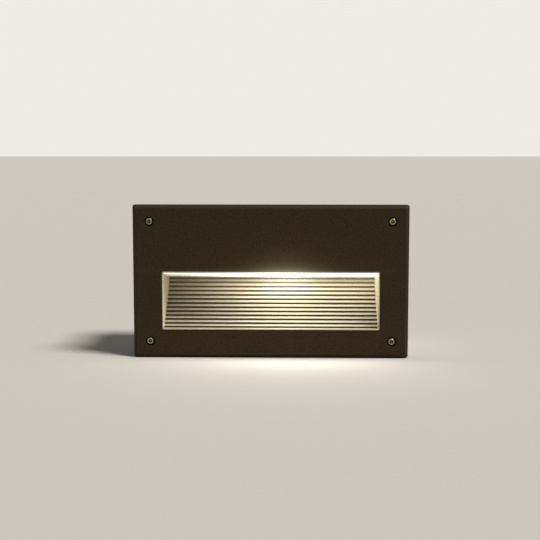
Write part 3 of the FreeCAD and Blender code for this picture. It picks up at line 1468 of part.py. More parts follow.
def make_lamp_lead():
    """From the ballast's coil up behind the lamp to the holder."""
    start_x, start_y, start_z = coil_exit(1)
    end_x, end_z = holder_lead_places()[0]
    back_y = LAMP_Y + HOLDER_WIDTH / 2
    points = [
        (start_x, start_y, start_z),
        (start_x, start_y - 7, start_z),
        (start_x - 6, start_y - 13, start_z + 0.6),
        (start_x - 16, start_y - 15, start_z + 2),
        (start_x - 30, start_y - 13, start_z + 5),
        (start_x - 44, start_y - 8, start_z + 12),
        (start_x - 57, start_y - 2, start_z + 22),
        (start_x - 70, start_y + 2, start_z + 33),
        (start_x - 84, start_y + 4, start_z + 42),
        (end_x + 16, back_y + 15.5, end_z - 1),
        (end_x + 6.5, back_y + 12.5, end_z),
        (end_x, back_y + 6, end_z),
        (end_x, back_y - LEAD_ENTRY_DEPTH, end_z),
    ]
    return lead("lamp_lead", points)


def make_neutral_lead():
    """From the terminal block's middle pole up to the holder."""
    x = pole_xs()[1]
    high = BLOCK_CENTRE_Z + BLOCK_HEIGHT / 2
    end_x, end_z = holder_lead_places()[1]
    back_y = LAMP_Y + HOLDER_WIDTH / 2
    points = [
        (x, WIRE_Y, high - LEAD_ENTRY_DEPTH),
        (x, WIRE_Y, high + 7),
        (x - 4, WIRE_Y + 0.5, high + 19),
        (x - 11, WIRE_Y - 1, high + 31),
        (x - 20, WIRE_Y - 3.5, high + 41),
        (x - 30, WIRE_Y - 6.5, high + 49),
        (end_x + 15, back_y + 17.5, end_z - 1.5),
        (end_x + 6.5, back_y + 12.5, end_z),
        (end_x, back_y + 6, end_z),
        (end_x, back_y - LEAD_ENTRY_DEPTH, end_z),
    ]
    return lead("neutral_lead", points)


def make_ground_lead():
    """From the terminal block's left pole to the lug on the tray."""
    x = pole_xs()[0]
    high = BLOCK_CENTRE_Z + BLOCK_HEIGHT / 2
    lug_y = TRAY_FRONT_Y - LEAD_RADIUS
    lug_z = GROUND_Z - LUG_RING_RADIUS - LUG_WIRE_GAP
    points = [
        (x, WIRE_Y, high - LEAD_ENTRY_DEPTH),
        (x, WIRE_Y, high + 4),
        (x - 2, WIRE_Y + 2.3, high + 11),
        (GROUND_X, lug_y, lug_z - 6.2),
        (GROUND_X, lug_y, lug_z),
    ]
    return lead("ground_lead", points)


def make_ground_lug():
    """A crimped ring on the end of the ground lead."""
    y0 = TRAY_FRONT_Y - LUG_RING_THICKNESS
    ring = rod_y(GROUND_X, GROUND_Z, LUG_RING_RADIUS, y0, TRAY_FRONT_Y)
    hole = rod_y(GROUND_X, GROUND_Z, M3_RADIUS + THROUGH_CLEARANCE, y0, TRAY_FRONT_Y)
    return ring.cut(hole)


def make_ground_screw():
    """The screw that bonds the ground lug to the tray."""
    seat = TRAY_FRONT_Y - LUG_RING_THICKNESS
    tip = TRAY_BACK_Y + TRAY_SCREW_REACH
    return tray_screw(GROUND_X, GROUND_Z, seat, M3_RADIUS, M3_HEAD_RADIUS, tip)


# ---- nodes -------------------------------------------------------------------------------------
def all_nodes():
    """Every node by name, as a list of its separate solids."""
    nodes = {
        "faceplate": [make_faceplate()],
        "faceplate_gasket": [make_faceplate_gasket()],
        "scoop": [make_scoop()],
        "scoop_screws": make_scoop_screws(),
        "lens": [make_lens()],
        "lens_gasket": [make_lens_gasket()],
        "lens_clips": make_lens_clips(),
        "lens_clip_screws": make_lens_clip_screws(),
        "screw_retainers": make_screw_retainers(),
        "back_box": [make_back_box()],
        "conduit_plugs": make_conduit_plugs(),
        "lamp_tubes": [make_lamp_tubes()],
        "lamp_base": [make_lamp_base()],
        "lamp_pins": make_lamp_pins(),
        "lampholder": [make_lampholder()],
        "lampholder_contacts": make_lampholder_contacts(),
        "lampholder_bracket": [make_lampholder_bracket()],
        "lampholder_screws": make_lampholder_screws(),
        "bracket_screws": make_bracket_screws(),
        "reflector": [make_reflector()],
        "reflector_screws": make_reflector_screws(),
        "lamp_clip": [make_lamp_clip()],
        "gear_tray": [make_gear_tray()],
        "gear_tray_screws": make_gear_tray_screws(),
        "ballast_core": [make_ballast_core()],
        "ballast_bobbin": [make_ballast_bobbin()],
        "ballast_winding": [make_ballast_winding()],
        "ballast_brackets": make_ballast_brackets(),
        "ballast_screws": make_ballast_screws(),
        "terminal_block": [make_terminal_block()],
        "terminal_clamps": make_terminal_clamps(),
        "terminal_screws": make_terminal_screws(),
        "terminal_block_screws": make_terminal_block_screws(),
        "ballast_lead": [make_ballast_lead()],
        "lamp_lead": [make_lamp_lead()],
        "neutral_lead": [make_neutral_lead()],
        "ground_lead": [make_ground_lead()],
        "ground_lug": [make_ground_lug()],
        "ground_screw": [make_ground_screw()],
    }
    for name, (x, z) in face_screw_places().items():
        nodes["face_screw_" + name] = [make_face_screw(x, z)]
        nodes["face_washer_" + name] = [make_face_washer(x, z)]
    return nodes


def main():
    os.makedirs("parts", exist_ok=True)
    for name, solids in all_nodes().items():
        shape = solids[0] if len(solids) == 1 else Part.makeCompound(solids)
        if len(shape.Solids) != len(solids) or not shape.isValid():
            print("check", name, "has", len(shape.Solids), "solids for", len(solids))
        shape.exportStep("parts/" + name + ".step")


main()
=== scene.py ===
# %% [markdown]
# # A recessed step light
# The light is a dark bronze plate with a low window. Behind the window is a silver scoop with a
# stepped back, and a tilted lens is its ceiling. This file dresses the solids that the design
# file made: it gives each one a finish, and it works out finer surfaces with numpy where a solid
# is too plain. All lengths are metres, with X along the plate, Y from the plate to the rear of
# its box and Z up.

import json
import math

import bmesh
import bpy
import numpy as np
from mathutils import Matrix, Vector


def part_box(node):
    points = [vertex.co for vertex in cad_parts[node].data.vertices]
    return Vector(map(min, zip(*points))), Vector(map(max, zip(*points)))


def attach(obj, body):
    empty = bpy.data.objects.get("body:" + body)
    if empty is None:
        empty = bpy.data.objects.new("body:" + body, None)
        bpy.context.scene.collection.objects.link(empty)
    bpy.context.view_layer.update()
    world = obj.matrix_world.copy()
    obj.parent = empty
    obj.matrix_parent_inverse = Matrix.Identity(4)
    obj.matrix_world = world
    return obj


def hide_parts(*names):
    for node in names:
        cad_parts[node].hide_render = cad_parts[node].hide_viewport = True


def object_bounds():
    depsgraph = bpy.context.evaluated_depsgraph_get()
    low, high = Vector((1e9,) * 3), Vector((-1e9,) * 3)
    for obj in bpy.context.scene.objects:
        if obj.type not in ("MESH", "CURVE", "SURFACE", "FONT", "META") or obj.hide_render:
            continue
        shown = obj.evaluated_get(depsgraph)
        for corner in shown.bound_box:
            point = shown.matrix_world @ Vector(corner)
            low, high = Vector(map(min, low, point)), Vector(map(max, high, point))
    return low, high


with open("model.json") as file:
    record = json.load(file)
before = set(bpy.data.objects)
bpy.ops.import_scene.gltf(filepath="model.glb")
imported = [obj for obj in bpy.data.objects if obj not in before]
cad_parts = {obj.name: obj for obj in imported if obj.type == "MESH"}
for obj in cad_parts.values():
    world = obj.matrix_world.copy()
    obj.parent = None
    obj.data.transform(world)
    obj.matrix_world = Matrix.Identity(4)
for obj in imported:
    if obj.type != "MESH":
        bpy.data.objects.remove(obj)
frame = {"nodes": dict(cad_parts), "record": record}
CAD_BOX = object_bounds()
NODES = frame["nodes"]
MM = 0.001
BODY_OF = {
    node: body
    for body, nodes in frame["record"]["behaviour"]["bodies"].items()
    for node in nodes
}

# %% [markdown]
# ## The camera
# A photograph fixes where its camera stood, if the real size of what it shows is known. Here the
# plate's four corners, the window and the screws gave the place, the two turns and the lens. The
# camera stands a metre away, a little to the right and above, and looks slightly down.

# %% Camera
CAMERA_PLACE = (0.0223, -1.000, 0.1195)
CAMERA_DOWN_DEG = 6.25
CAMERA_TURN_DEG = 1.32
CAMERA_LENS_MM = 73.24
CAMERA_SENSOR_MM = 36.0
CAMERA_NEAREST = 0.01

camera_data = bpy.data.cameras.new("camera")
camera_data.lens = CAMERA_LENS_MM
camera_data.sensor_width = CAMERA_SENSOR_MM
camera_data.clip_start = CAMERA_NEAREST
camera = bpy.data.objects.new("camera", camera_data)
camera.location = CAMERA_PLACE
camera.rotation_euler = (
    math.radians(90 - CAMERA_DOWN_DEG),
    0.0,
    math.radians(CAMERA_TURN_DEG),
)
bpy.context.scene.collection.objects.link(camera)
bpy.context.scene.camera = camera
print("camera at", CAMERA_PLACE, "lens", CAMERA_LENS_MM)

# %% [markdown]
# ## Pieces that stand for solids
# A solid's own mesh is never changed. Where a finer piece is wanted, it stands for the solid: the
# solid is hidden, and the piece moves with the same body and belongs to the same kind of finish.

# %% Stand-ins
PIECES = {}


def stand_in(piece, *names):
    """The piece stands for CAD nodes of one body, rides on that body and is listed for their
    finish.
    """
    bpy.context.scene.collection.objects.link(piece)
    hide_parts(*names)
    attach(piece, BODY_OF[names[0]])
    for name in names:
        PIECES[name] = piece


print("bodies to ride on:", len(set(BODY_OF.values())))

# %% [markdown]
# ## Normals for flats beside round edges
# A smooth shader blends the directions of the faces that meet at a corner. A narrow round edge
# would then tilt the shading of the wide flat beside it. Each corner's direction is therefore the
# sum of its faces' directions times their areas, divided by its own length, so wide faces win.

# %% Weighted normals
SMALLEST_LENGTH = 1e-12


def weight_normals(mesh):
    """Vertex normals weighted by face area, so that flats stay flat beside their round edges."""
    count = len(mesh.polygons)
    areas = np.empty(count)
    normals = np.empty(count * 3)
    corners = np.empty(len(mesh.loops), dtype=np.int64)
    totals = np.empty(count, dtype=np.int64)
    mesh.polygons.foreach_get("area", areas)
    mesh.polygons.foreach_get("normal", normals)
    mesh.polygons.foreach_get("loop_total", totals)
    mesh.loops.foreach_get("vertex_index", corners)
    weighted = normals.reshape(-1, 3) * areas[:, None]
    sums = np.zeros((len(mesh.vertices), 3))
    np.add.at(sums, corners, weighted[np.repeat(np.arange(count), totals)])
    sums /= np.maximum(np.linalg.norm(sums, axis=1, keepdims=True), SMALLEST_LENGTH)
    mesh.normals_split_custom_set_from_vertices(sums.tolist())


print("normals are weighted by face area")

# %% [markdown]
# ## Soft edges on cast, moulded and folded pieces
# Nothing that was cast, moulded or bent has a knife edge. Paint fills the corners a little more.
# Edges are what catches the light, so a solid with sharp ones looks like a drawing. A copy of
# each such solid gets its edges rounded by a few tenths of a millimetre. The width is chosen by
# how the piece was made: more for sand castings, less for mouldings, least for folded sheet.

# %% Soft copies
MERGE_DISTANCE = 1e-6
SHARP_FROM_DEG = 28
SOFT_SEGMENTS = 2


def soften(name, width_mm):
    """A copy of a node's mesh, with doubled corners merged and sharp edges rounded."""
    work = bmesh.new()
    work.from_mesh(NODES[name].data)
    bmesh.ops.remove_doubles(work, verts=work.verts, dist=MERGE_DISTANCE)
    limit = math.radians(SHARP_FROM_DEG)
    sharp = [e for e in work.edges if len(e.link_faces) == 2 and e.calc_face_angle(0) > limit]
    bmesh.ops.bevel(
        work,
        geom=sharp,
        offset=width_mm * MM,
        offset_type="OFFSET",
        segments=SOFT_SEGMENTS,
        profile=0.5,
        affect="EDGES",
        clamp_overlap=False,
    )
    mesh = bpy.data.meshes.new(name + "_soft")
    work.to_mesh(mesh)
    work.free()
    mesh.shade_smooth()
    weight_normals(mesh)
    stand_in(bpy.data.objects.new(name + "_soft", mesh), name)


SOFT_WIDTHS_MM = {
    "faceplate": 0.22,
    "scoop": 0.38,
    "back_box": 0.35,
    "lampholder": 0.25,
    "lamp_base": 0.4,
    "terminal_block": 0.2,
    "ballast_core": 0.15,
    "conduit_plugs": 0.3,
    "gear_tray": 0.12,
    "lampholder_bracket": 0.12,
    "ballast_brackets": 0.12,
}
for node_name, width_mm in SOFT_WIDTHS_MM.items():
    soften(node_name, width_mm)
print("softened", len(SOFT_WIDTHS_MM), "pieces")

# %% [markdown]
# ## Which faces of the scoop are risers, cheeks and the lit strip
# The scoop's light and dark lines are its treads and risers. The treads look up at the lens. The
# risers face forward and stay dark, and their colour is painted shade. The two end walls, the
# cheeks, are painted paler. The copy's faces are sorted by where they are and which way they face.
# Those that face forward are marked as risers, those that face along the plate as cheeks, and
# the strip over the mouth, which looks down beside the lens, as lit. A finish can read such marks.

# %% Mark the scoop's faces


def mark_faces(piece, name, low, high, facing, least):
    """Puts 1 on the faces whose centre is in a box and that face a direction closely enough.

    A face is close enough where the cosine of the angle between its normal and the direction is
    over least. Faces that an earlier call marked keep their mark.
    """
    mesh = piece.data
    count = len(mesh.polygons)
    centres = np.empty(count * 3)
    normals = np.empty(count * 3)
    mesh.polygons.foreach_get("center", centres)
    mesh.polygons.foreach_get("normal", normals)
    centres = centres.reshape(-1, 3)
    inside = np.all((centres > np.array(low)) & (centres < np.array(high)), axis=1)
    chosen = inside & (normals.reshape(-1, 3) @ np.array(facing) > least)
    layer = mesh.attributes.get(name) or mesh.attributes.new(name, "FLOAT", "FACE")
    marked = np.empty(count, dtype=np.float32)
    layer.data.foreach_get("value", marked)
    layer.data.foreach_set("value", np.maximum(marked, chosen.astype(np.float32)))
    print(name, int(chosen.sum()), "faces")


STEPS_LOW, STEPS_HIGH = (-0.0981, -0.0088, -0.0433), (0.0981, 0.042, 0.0079)
SCOOP_LOW, SCOOP_HIGH = (-0.11, -0.0095, -0.05), (0.11, 0.06, 0.02)
STRIP_LOW, STRIP_HIGH = (-0.0981, -0.0090, 0.0030), (0.0981, 0.0040, 0.0095)
FORWARD, RIGHTWARD, LEFTWARD, DOWNWARD = (0, -1, 0), (1, 0, 0), (-1, 0, 0), (0, 0, -1)
RISER_LEAST, CHEEK_LEAST, STRIP_FACING_LEAST = 0.55, 0.7, 0.9

scoop = PIECES["scoop"]
mark_faces(scoop, "riser", STEPS_LOW, STEPS_HIGH, FORWARD, RISER_LEAST)
for facing in (RIGHTWARD, LEFTWARD):
    mark_faces(scoop, "cheek", SCOOP_LOW, SCOOP_HIGH, facing, CHEEK_LEAST)
mark_faces(scoop, "lit", STRIP_LOW, STRIP_HIGH, DOWNWARD, STRIP_FACING_LEAST)

# %% [markdown]
# ## Surfaces from loops
# A turned or wound piece is a stack of closed loops: the same number of points in each, joined to
# the next by a band of faces. A function of two parameters gives every point, one parameter
# round the loop and one from loop to loop. The first and last loops shrink to a pole, which
# closes the surface.

# %% Loop surfaces


def loop_mesh(name, points, closed_rows=False):
    """A mesh from points[row, column], closed round the columns.

    With closed_rows the last row joins the first, as in a ring. Otherwise the first and last
    rows are closed by a fan to their middle point.
    """
    rows, columns, _ = points.shape
    vertices = points.reshape(-1, 3)
    row = np.arange(rows if closed_rows else rows - 1)[:, None]
    column = np.arange(columns)[None, :]
    after = (column + 1) % columns
    below = (row + 1) % rows
    quads = np.stack(
        [
            row * columns + column,
            row * columns + after,
            below * columns + after,
            below * columns + column,
        ],
        axis=-1,
    ).reshape(-1, 4)
    faces = quads.tolist()
    if not closed_rows:
        first_pole = np.full(columns, len(vertices))
        vertices = np.vstack([vertices, points[0].mean(axis=0), points[-1].mean(axis=0)])
        here = np.arange(columns)
        following = (here + 1) % columns
        end = (rows - 1) * columns
        first_fan = np.stack([first_pole, following, here], axis=-1)
        last_fan = np.stack([first_pole + 1, end + here, end + following], axis=-1)
        faces += np.stack([first_fan, last_fan], axis=1).reshape(-1, 3).tolist()
    mesh = bpy.data.meshes.new(name)
    mesh.from_pydata(vertices.tolist(), [], faces)
    mesh.shade_smooth()
    return mesh


def smooth_by_angle(mesh, degrees):
    """Marks edges sharper than an angle as sharp, so that flats stay flat."""
    work = bmesh.new()
    work.from_mesh(mesh)
    limit = math.radians(degrees)
    for edge in work.edges:
        edge.smooth = len(edge.link_faces) == 2 and edge.calc_face_angle(0) < limit
    work.to_mesh(mesh)
    work.free()


print("a loop surface of r rows and c columns has c * (r - 1) four-sided faces and two fans")

# %% [markdown]
# ## The outline of a face screw
# Each face screw is turned from stainless bar, and its socket is pressed with a hexagon that
# leaves a pin in the middle. The outline runs from the pin's top, down the pin, across the
# socket's floor, up its six walls, over the domed head and down the shank to the thread. Every row
# is a radius and a height in millimetres. A hexagon's edge lies at a / cos(t) from the middle,
# where a is half its width across flats and t is the angle from the nearest flat's middle.

# %% A face screw's outline
AROUND = 48
SOCKET_HALF_WIDTH = 1.5
PIN_TOP = -0.2
PIN_ROWS = [(0.12, PIN_TOP), (0.40, PIN_TOP), (0.5, -0.3), (0.5, -1.5), (0.56, -1.6)]
SOCKET_ROWS = [(0.95, -1.6), (1.0, -1.55), (1.0, -0.3), (1.02, -0.12)]
RIM_RADIUS = 1.95
RIM_ROWS = [(1.86, -0.02), (RIM_RADIUS, 0.0)]
DOME_WIDTH = 1.5
DOME_DROP = 1.15
DOME_ROWS = [(RIM_RADIUS + DOME_WIDTH * t, -DOME_DROP * t**2) for t in np.linspace(0.1, 1, 10)]
HEAD_ROWS = [(3.5, -1.35), (3.5, -2.7), (3.42, -2.8)]
SHANK_ROWS = [(1.75, -2.8), (1.6, -2.95), (1.6, -10.0), (1.6, -17.7), (1.6, -18.1)]
OUTSIDE_ROWS = RIM_ROWS + DOME_ROWS + HEAD_ROWS + SHANK_ROWS
SCREW_END = -24.1
POINT_ROWS = [(1.55, -23.8), (1.45, -24.08), (0.3, SCREW_END)]


def hexagon_radius(turns, half_width):
    """The distance of a hexagon's edge from its middle: half_width / cos(angle from its flat)."""
    from_flat = (turns + math.pi / 6) % (math.pi / 3) - math.pi / 6
    return half_width / np.cos(from_flat)


print("outline rows besides the thread", len(PIN_ROWS + SOCKET_ROWS + OUTSIDE_ROWS + POINT_ROWS))

# %% [markdown]
# ## The thread of a face screw
# The thread is rolled: a ridge winds round the shank and climbs one pitch with every turn. At
# angle t and height z the radius follows a triangular wave of z / pitch - t / (2 pi), which turns
# into a helix.

# %% A face screw's thread and loops
THREAD_PITCH = 0.7
THREAD_DEPTH = 0.36
THREAD_CREST = 1.95
THREAD_FROM, THREAD_TO = -18.2, -23.7
ROWS_A_TURN = 8
FLANK_RISE, CREST_FLAT = 1.35, 0.15


def thread_radius(turns, heights):
    """The radius of a right-hand thread: a triangular wave that winds round the axis.

    The wave is |2 phase - 1|, where phase is the height over the pitch, less the share of a turn.
    Its ends are cut off flat, which makes the crests and roots.
    """
    phase = (heights / THREAD_PITCH - turns / (2 * math.pi)) % 1.0
    wave = np.abs(2 * phase - 1)
    return THREAD_CREST - THREAD_DEPTH * np.clip(FLANK_RISE * wave - CREST_FLAT, 0, 1)


def face_screw_loops():
    """The loops of one face screw, in millimetres, with its head's top at zero and up along Z.

    A row is a radius and a height. The radius multiplies a circle, or in the socket a hexagon.
    """
    turns = np.linspace(0, 2 * math.pi, AROUND, endpoint=False)
    circle = np.ones(AROUND)
    hexagon = hexagon_radius(turns, SOCKET_HALF_WIDTH)
    thread_heights = -np.arange(-THREAD_FROM, -THREAD_TO, THREAD_PITCH / ROWS_A_TURN)[:, None]
    before = [
        (np.array(PIN_ROWS), circle),
        (np.array(SOCKET_ROWS), hexagon),
        (np.array(OUTSIDE_ROWS), circle),
    ]
    point = np.array(POINT_ROWS)
    radii = [np.outer(rows[:, 0], shape) for rows, shape in before]
    radii += [thread_radius(turns, thread_heights), np.outer(point[:, 0], circle)]
    heights = [rows[:, 1:] for rows, _ in before] + [thread_heights, point[:, 1:]]
    radius, height = np.vstack(radii), np.vstack(heights) * circle
    return np.stack([radius * np.cos(turns), radius * np.sin(turns), height], axis=-1)


screw_loops = face_screw_loops()
print("a screw has", screw_loops.shape[0], "loops of", screw_loops.shape[1], "points")

# %% [markdown]
# ## Where the screws sit, and their painted shade
# The screws stand in the plate's corners, each stopped at its own angle, as real ones are. Shade is
# painted dark in the socket round the pin, and round the head's edge. Those points are marked,
# and the finish reads the mark.

# %% Face screws
HEAD_TOP = -8.7
SCREW_PLACES_MM = {
    "upper_left": (-110.3, 54.85, 20),
    "upper_right": (110.3, 54.85, 47),
    "lower_left": (-110.3, -54.85, 5),
    "lower_right": (110.3, -54.85, 33),
}
SCREW_SHARP_DEG = 35
SOCKET_SHADE_RADII = (0.3, 1.8)
SOCKET_SHADE_HEIGHTS = (-1.7, -0.25)
EDGE_SHADE_RADIUS = 2.85
EDGE_SHADE_HEIGHT = -3.0


def inside_limits(values, limits):
    """Where values lie between two limits."""
    return (values > limits[0]) & (values < limits[1])


# Marks where painted shade goes: the socket round the pin and the head's edge.
def grime_marks(loops):
    """1 for each point in the socket or round the head's edge, 0 elsewhere, with both poles."""
    radii = np.append(np.hypot(loops[..., 0], loops[..., 1]).ravel(), [0.0, 0.0])
    heights = np.append(loops[..., 2].ravel(), [PIN_TOP, SCREW_END])
    in_radius = inside_limits(radii, SOCKET_SHADE_RADII)
    in_socket = in_radius & inside_limits(heights, SOCKET_SHADE_HEIGHTS)
    round_head = (radii > EDGE_SHADE_RADIUS) & (heights > EDGE_SHADE_HEIGHT)
    return (in_socket | round_head).astype(np.float32)


for corner, (x, z, turned) in SCREW_PLACES_MM.items():
    angle = math.radians(turned)
    right = screw_loops[..., 0] * math.cos(angle) - screw_loops[..., 1] * math.sin(angle)
    up = screw_loops[..., 0] * math.sin(angle) + screw_loops[..., 1] * math.cos(angle)
    points = np.stack([x + right, HEAD_TOP - screw_loops[..., 2], z + up], axis=-1) * MM
    screw_mesh = loop_mesh("turned_screw_" + corner, points[:, ::-1])
    smooth_by_angle(screw_mesh, SCREW_SHARP_DEG)
    # This mark tells the finish where to paint shade.
    layer = screw_mesh.attributes.new("grime", "FLOAT", "POINT")
    layer.data.foreach_set("value", grime_marks(screw_loops))
    stand_in(bpy.data.objects.new("turned_screw_" + corner, screw_mesh), "face_screw_" + corner)
print("face screws", len(SCREW_PLACES_MM), "with", len(screw_mesh.polygons), "faces each")

# %% [markdown]
# ## The ballast's winding
# The coil is enamelled wire wound in even layers, so its outside shows one ridge for every turn
# of wire. The surface is a rounded rectangle carried along the coil. Its distance from the core
# rises and falls as a row of half circles, one for each wire.

# %% Winding
WIRE_MM = 0.7
ROWS_A_WIRE = 5
COIL_ROUND = 1.8
COIL_THICKNESS = 4.0
BORE_ROUND = 0.5
POINTS_A_CORNER = 8


def rounded_rectangle(half_sides, radius):
    """Points round a rectangle with round corners, and the outward direction at each.

    Each corner is a quarter of a circle whose centre lies a radius inside both sides. A point is
    the centre plus the radius times the outward direction.
    """
    quarters = np.linspace(0, 90, POINTS_A_CORNER) + np.array([[0], [90], [180], [270]])
    turns = np.radians(quarters.ravel())
    outward = np.column_stack([np.cos(turns), np.sin(turns)])
    corners = np.repeat([(1, 1), (-1, 1), (-1, -1), (1, -1)], POINTS_A_CORNER, axis=0)
    return corners * (half_sides - radius) + radius * outward, outward


def winding_loops(low, high):
    """A ring of section rows: ridged outside, then flat ends and a plain inside.

    With p the share of the way across a wire, the ridge stands sqrt(1 - (2 p - 1)^2) times the
    wire's radius over the groove between two wires.
    """
    middle, half = (low + high) / 2 / MM, (high - low) / 2 / MM
    outline, outward = rounded_rectangle(half[1:], COIL_ROUND)
    bore, _ = rounded_rectangle(half[1:] - COIL_THICKNESS, BORE_ROUND)
    wires = int(2 * half[0] / WIRE_MM)
    along = np.linspace(-half[0], half[0], wires * ROWS_A_WIRE + 1)
    share = (np.arange(len(along)) % ROWS_A_WIRE) / ROWS_A_WIRE
    ridge = np.sqrt(np.clip(1 - (2 * share - 1) ** 2, 0, 1)) * WIRE_MM / 2 - WIRE_MM / 2
    around = outline + ridge[:, None, None] * outward
    sections = np.concatenate([around, [bore, bore]])
    places = np.append(along, [half[0], -half[0]])[:, None, None]
    rows = np.concatenate([places * np.ones((1, len(outline), 1)), sections], axis=-1)
    return (rows + middle) * MM


winding_points = winding_loops(*map(np.array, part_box("ballast_winding")))
winding_mesh = loop_mesh("wound_coil", winding_points[:, ::-1], closed_rows=True)
stand_in(bpy.data.objects.new("wound_coil", winding_mesh), "ballast_winding")
print("winding", len(winding_mesh.polygons), "faces")

# %% [markdown]
# ## Colours
# A colour picked on a screen is stored on the screen's curve, and light adds up in a straight
# line. The shader needs the second kind, so the curve is undone first.

# %% Colours


def srgb(red, green, blue):
    """Screen values from 0 to 255 as linear light: the screen's curve, undone."""
    values = np.array([red, green, blue]) / 255
    linear = np.where(values <= 0.04045, values / 12.92, ((values + 0.055) / 1.055) ** 2.4)
    return tuple(float(v) for v in linear) + (1.0,)


print("a middle grey on screen is", round(srgb(128, 128, 128)[0], 3), "of white's light")

# %% [markdown]
# ## A finish and its kinds of detail
# Every finish here starts from the same shader and adds three kinds of detail: a colour that
# varies a little, a gloss that varies a little, and a fine relief. Patterns read the object's
# own coordinates, so they stay with a piece when it moves. A helper for each step keeps every
# finish short.

# %% Finish


class Finish:
    """A material with one principled shader, and short calls that add detail to it."""

    def __init__(self, name, colour, roughness, metallic=0.0):
        self.material = bpy.data.materials.new(name)
        self.material.use_nodes = True
        self.tree = self.material.node_tree
        self.tree.nodes.clear()
        output = self.add("ShaderNodeOutputMaterial")
        self.shader = self.add("ShaderNodeBsdfPrincipled")
        self.join(self.shader.outputs["BSDF"], output.inputs["Surface"])
        self.place = self.add("ShaderNodeTexCoord").outputs["Object"]
        self.set("Base Color", colour)
        self.set("Roughness", roughness)
        self.set("Metallic", metallic)
        self.height = None

    def add(self, kind):
        """A new node."""
        return self.tree.nodes.new(kind)

    def join(self, output, socket):
        """A link from an output to an input."""
        self.tree.links.new(output, socket)

    def set(self, name, value):
        """A value on the shader's own socket."""
        self.shader.inputs[name].default_value = value

    def stretched(self, scale):
        """The object's coordinates, scaled by a different amount on each axis."""
        mapping = self.add("ShaderNodeMapping")
        mapping.inputs["Scale"].default_value = scale
        self.join(self.place, mapping.inputs["Vector"])
        return mapping.outputs["Vector"]

    def noise(self, size, detail=3.0, stretch=None):
        """Cloudy noise whose blotches are about size across."""
        node = self.add("ShaderNodeTexNoise")
        node.inputs["Scale"].default_value = 1 / size
        node.inputs["Detail"].default_value = detail
        self.join(self.stretched(stretch) if stretch else self.place, node.inputs["Vector"])
        return node.outputs["Fac"]

    def cells(self, size):
        """Distance to the nearest of many scattered points, about size apart."""
        node = self.add("ShaderNodeTexVoronoi")
        node.inputs["Scale"].default_value = 1 / size
        self.join(self.place, node.inputs["Vector"])
        return node.outputs["Distance"]

    def waves(self, size, direction):
        """Even ridges across one axis, size from crest to crest."""
        node = self.add("ShaderNodeTexWave")
        node.wave_type = "BANDS"
        node.bands_direction = direction
        node.inputs["Scale"].default_value = math.pi / (10 * size)
        self.join(self.place, node.inputs["Vector"])
        return node.outputs["Fac"]

    def ramp(self, source, stops):
        """Colours along a value: stops are (position, colour) pairs."""
        node = self.add("ShaderNodeValToRGB")
        elements = node.color_ramp.elements
        while len(elements) < len(stops):
            elements.new(0.5)
        for element, (position, colour) in zip(elements, stops):
            element.position = position
            element.color = colour
        self.join(source, node.inputs["Fac"])
        return node.outputs["Color"]

    def vary_colour(self, source, low, high, first=0.3, last=0.7):
        """The base colour runs from low to high as the source goes from first to last."""
        self.join(self.ramp(source, [(first, low), (last, high)]), self.shader.inputs["Base Color"])

    def between(self, source, first, last, low, high):
        """A value that runs from low to high as the source goes from first to last."""
        node = self.add("ShaderNodeMapRange")
        node.inputs["From Min"].default_value = first
        node.inputs["From Max"].default_value = last
        node.inputs["To Min"].default_value = low
        node.inputs["To Max"].default_value = high
        self.join(source, node.inputs["Value"])
        return node.outputs["Result"]

    def vary_roughness(self, source, low, high, first=0.3, last=0.7):
        """The roughness runs from low to high as the source goes from first to last."""
        varied = self.between(source, first, last, low, high)
        self.join(varied, self.shader.inputs["Roughness"])

    def relief(self, source, depth, strength=1.0):
        """Adds a relief of that depth, on top of any relief already there."""
        node = self.add("ShaderNodeBump")
        node.inputs["Distance"].default_value = depth
        node.inputs["Strength"].default_value = strength
        self.join(source, node.inputs["Height"])
        if self.height:
            self.join(self.height, node.inputs["Normal"])
        self.height = node.outputs["Normal"]
        self.join(self.height, self.shader.inputs["Normal"])


print("a finish can", [name for name in vars(Finish) if not name.startswith("_")])

# %% [markdown]
# ## Sums in a material, and putting a finish on
# Some finishes need a little arithmetic, or one colour on marked faces and another elsewhere. The
# last helper puts a finish on a node. Where a finer piece stands for the node, both get it. It
# also keeps the names, so that the last finish can show that no node was forgotten.

# %% Sums, marks and dressing
DRESSED = set()


def axis_of(finish, axis):
    """One of the object's own coordinates, by its letter."""
    split = finish.add("ShaderNodeSeparateXYZ")
    finish.join(finish.place, split.inputs["Vector"])
    return split.outputs[axis]


def math_node(finish, operation, *values):
    """A math node with numbers or links as its inputs."""
    node = finish.add("ShaderNodeMath")
    node.operation = operation
    for socket, value in zip(node.inputs, values):
        if isinstance(value, (int, float)):
            socket.default_value = value
        else:
            finish.join(value, socket)
    return node.outputs["Value"]


def mix_colours(finish, attribute, plain, marked):
    """One colour where an attribute is 0 and another where it is 1."""
    where = finish.add("ShaderNodeAttribute")
    where.attribute_name = attribute
    mix = finish.add("ShaderNodeMix")
    mix.data_type = "RGBA"
    finish.join(where.outputs["Fac"], mix.inputs["Factor"])
    for value, place in ((plain, mix.inputs[6]), (marked, mix.inputs[7])):
        if isinstance(value, tuple):
            place.default_value = value
        else:
            finish.join(value, place)
    return mix.outputs[2]


def dress(finish, *names):
    """Puts a finish on nodes, and on the pieces that stand for them."""
    DRESSED.update(names)
    for name in names:
        for item in (NODES[name], PIECES.get(name)):
            if item is None:
                continue
            if not item.data.materials:
                item.data.materials.append(finish.material)
            for slot in item.material_slots:
                slot.material = finish.material


print("pieces that share their node's finish", len(PIECES))

# %% [markdown]
# ## Dark bronze powder coat
# The plate is cast, then coated with powder that melts into a fine pebbled skin. Seen close, it
# has grains under a millimetre across, and its colour drifts a little between them. A cloudy
# noise drives the colour and two finer ones make the relief: the powder's orange peel and the
# sandy grain of the casting under it.

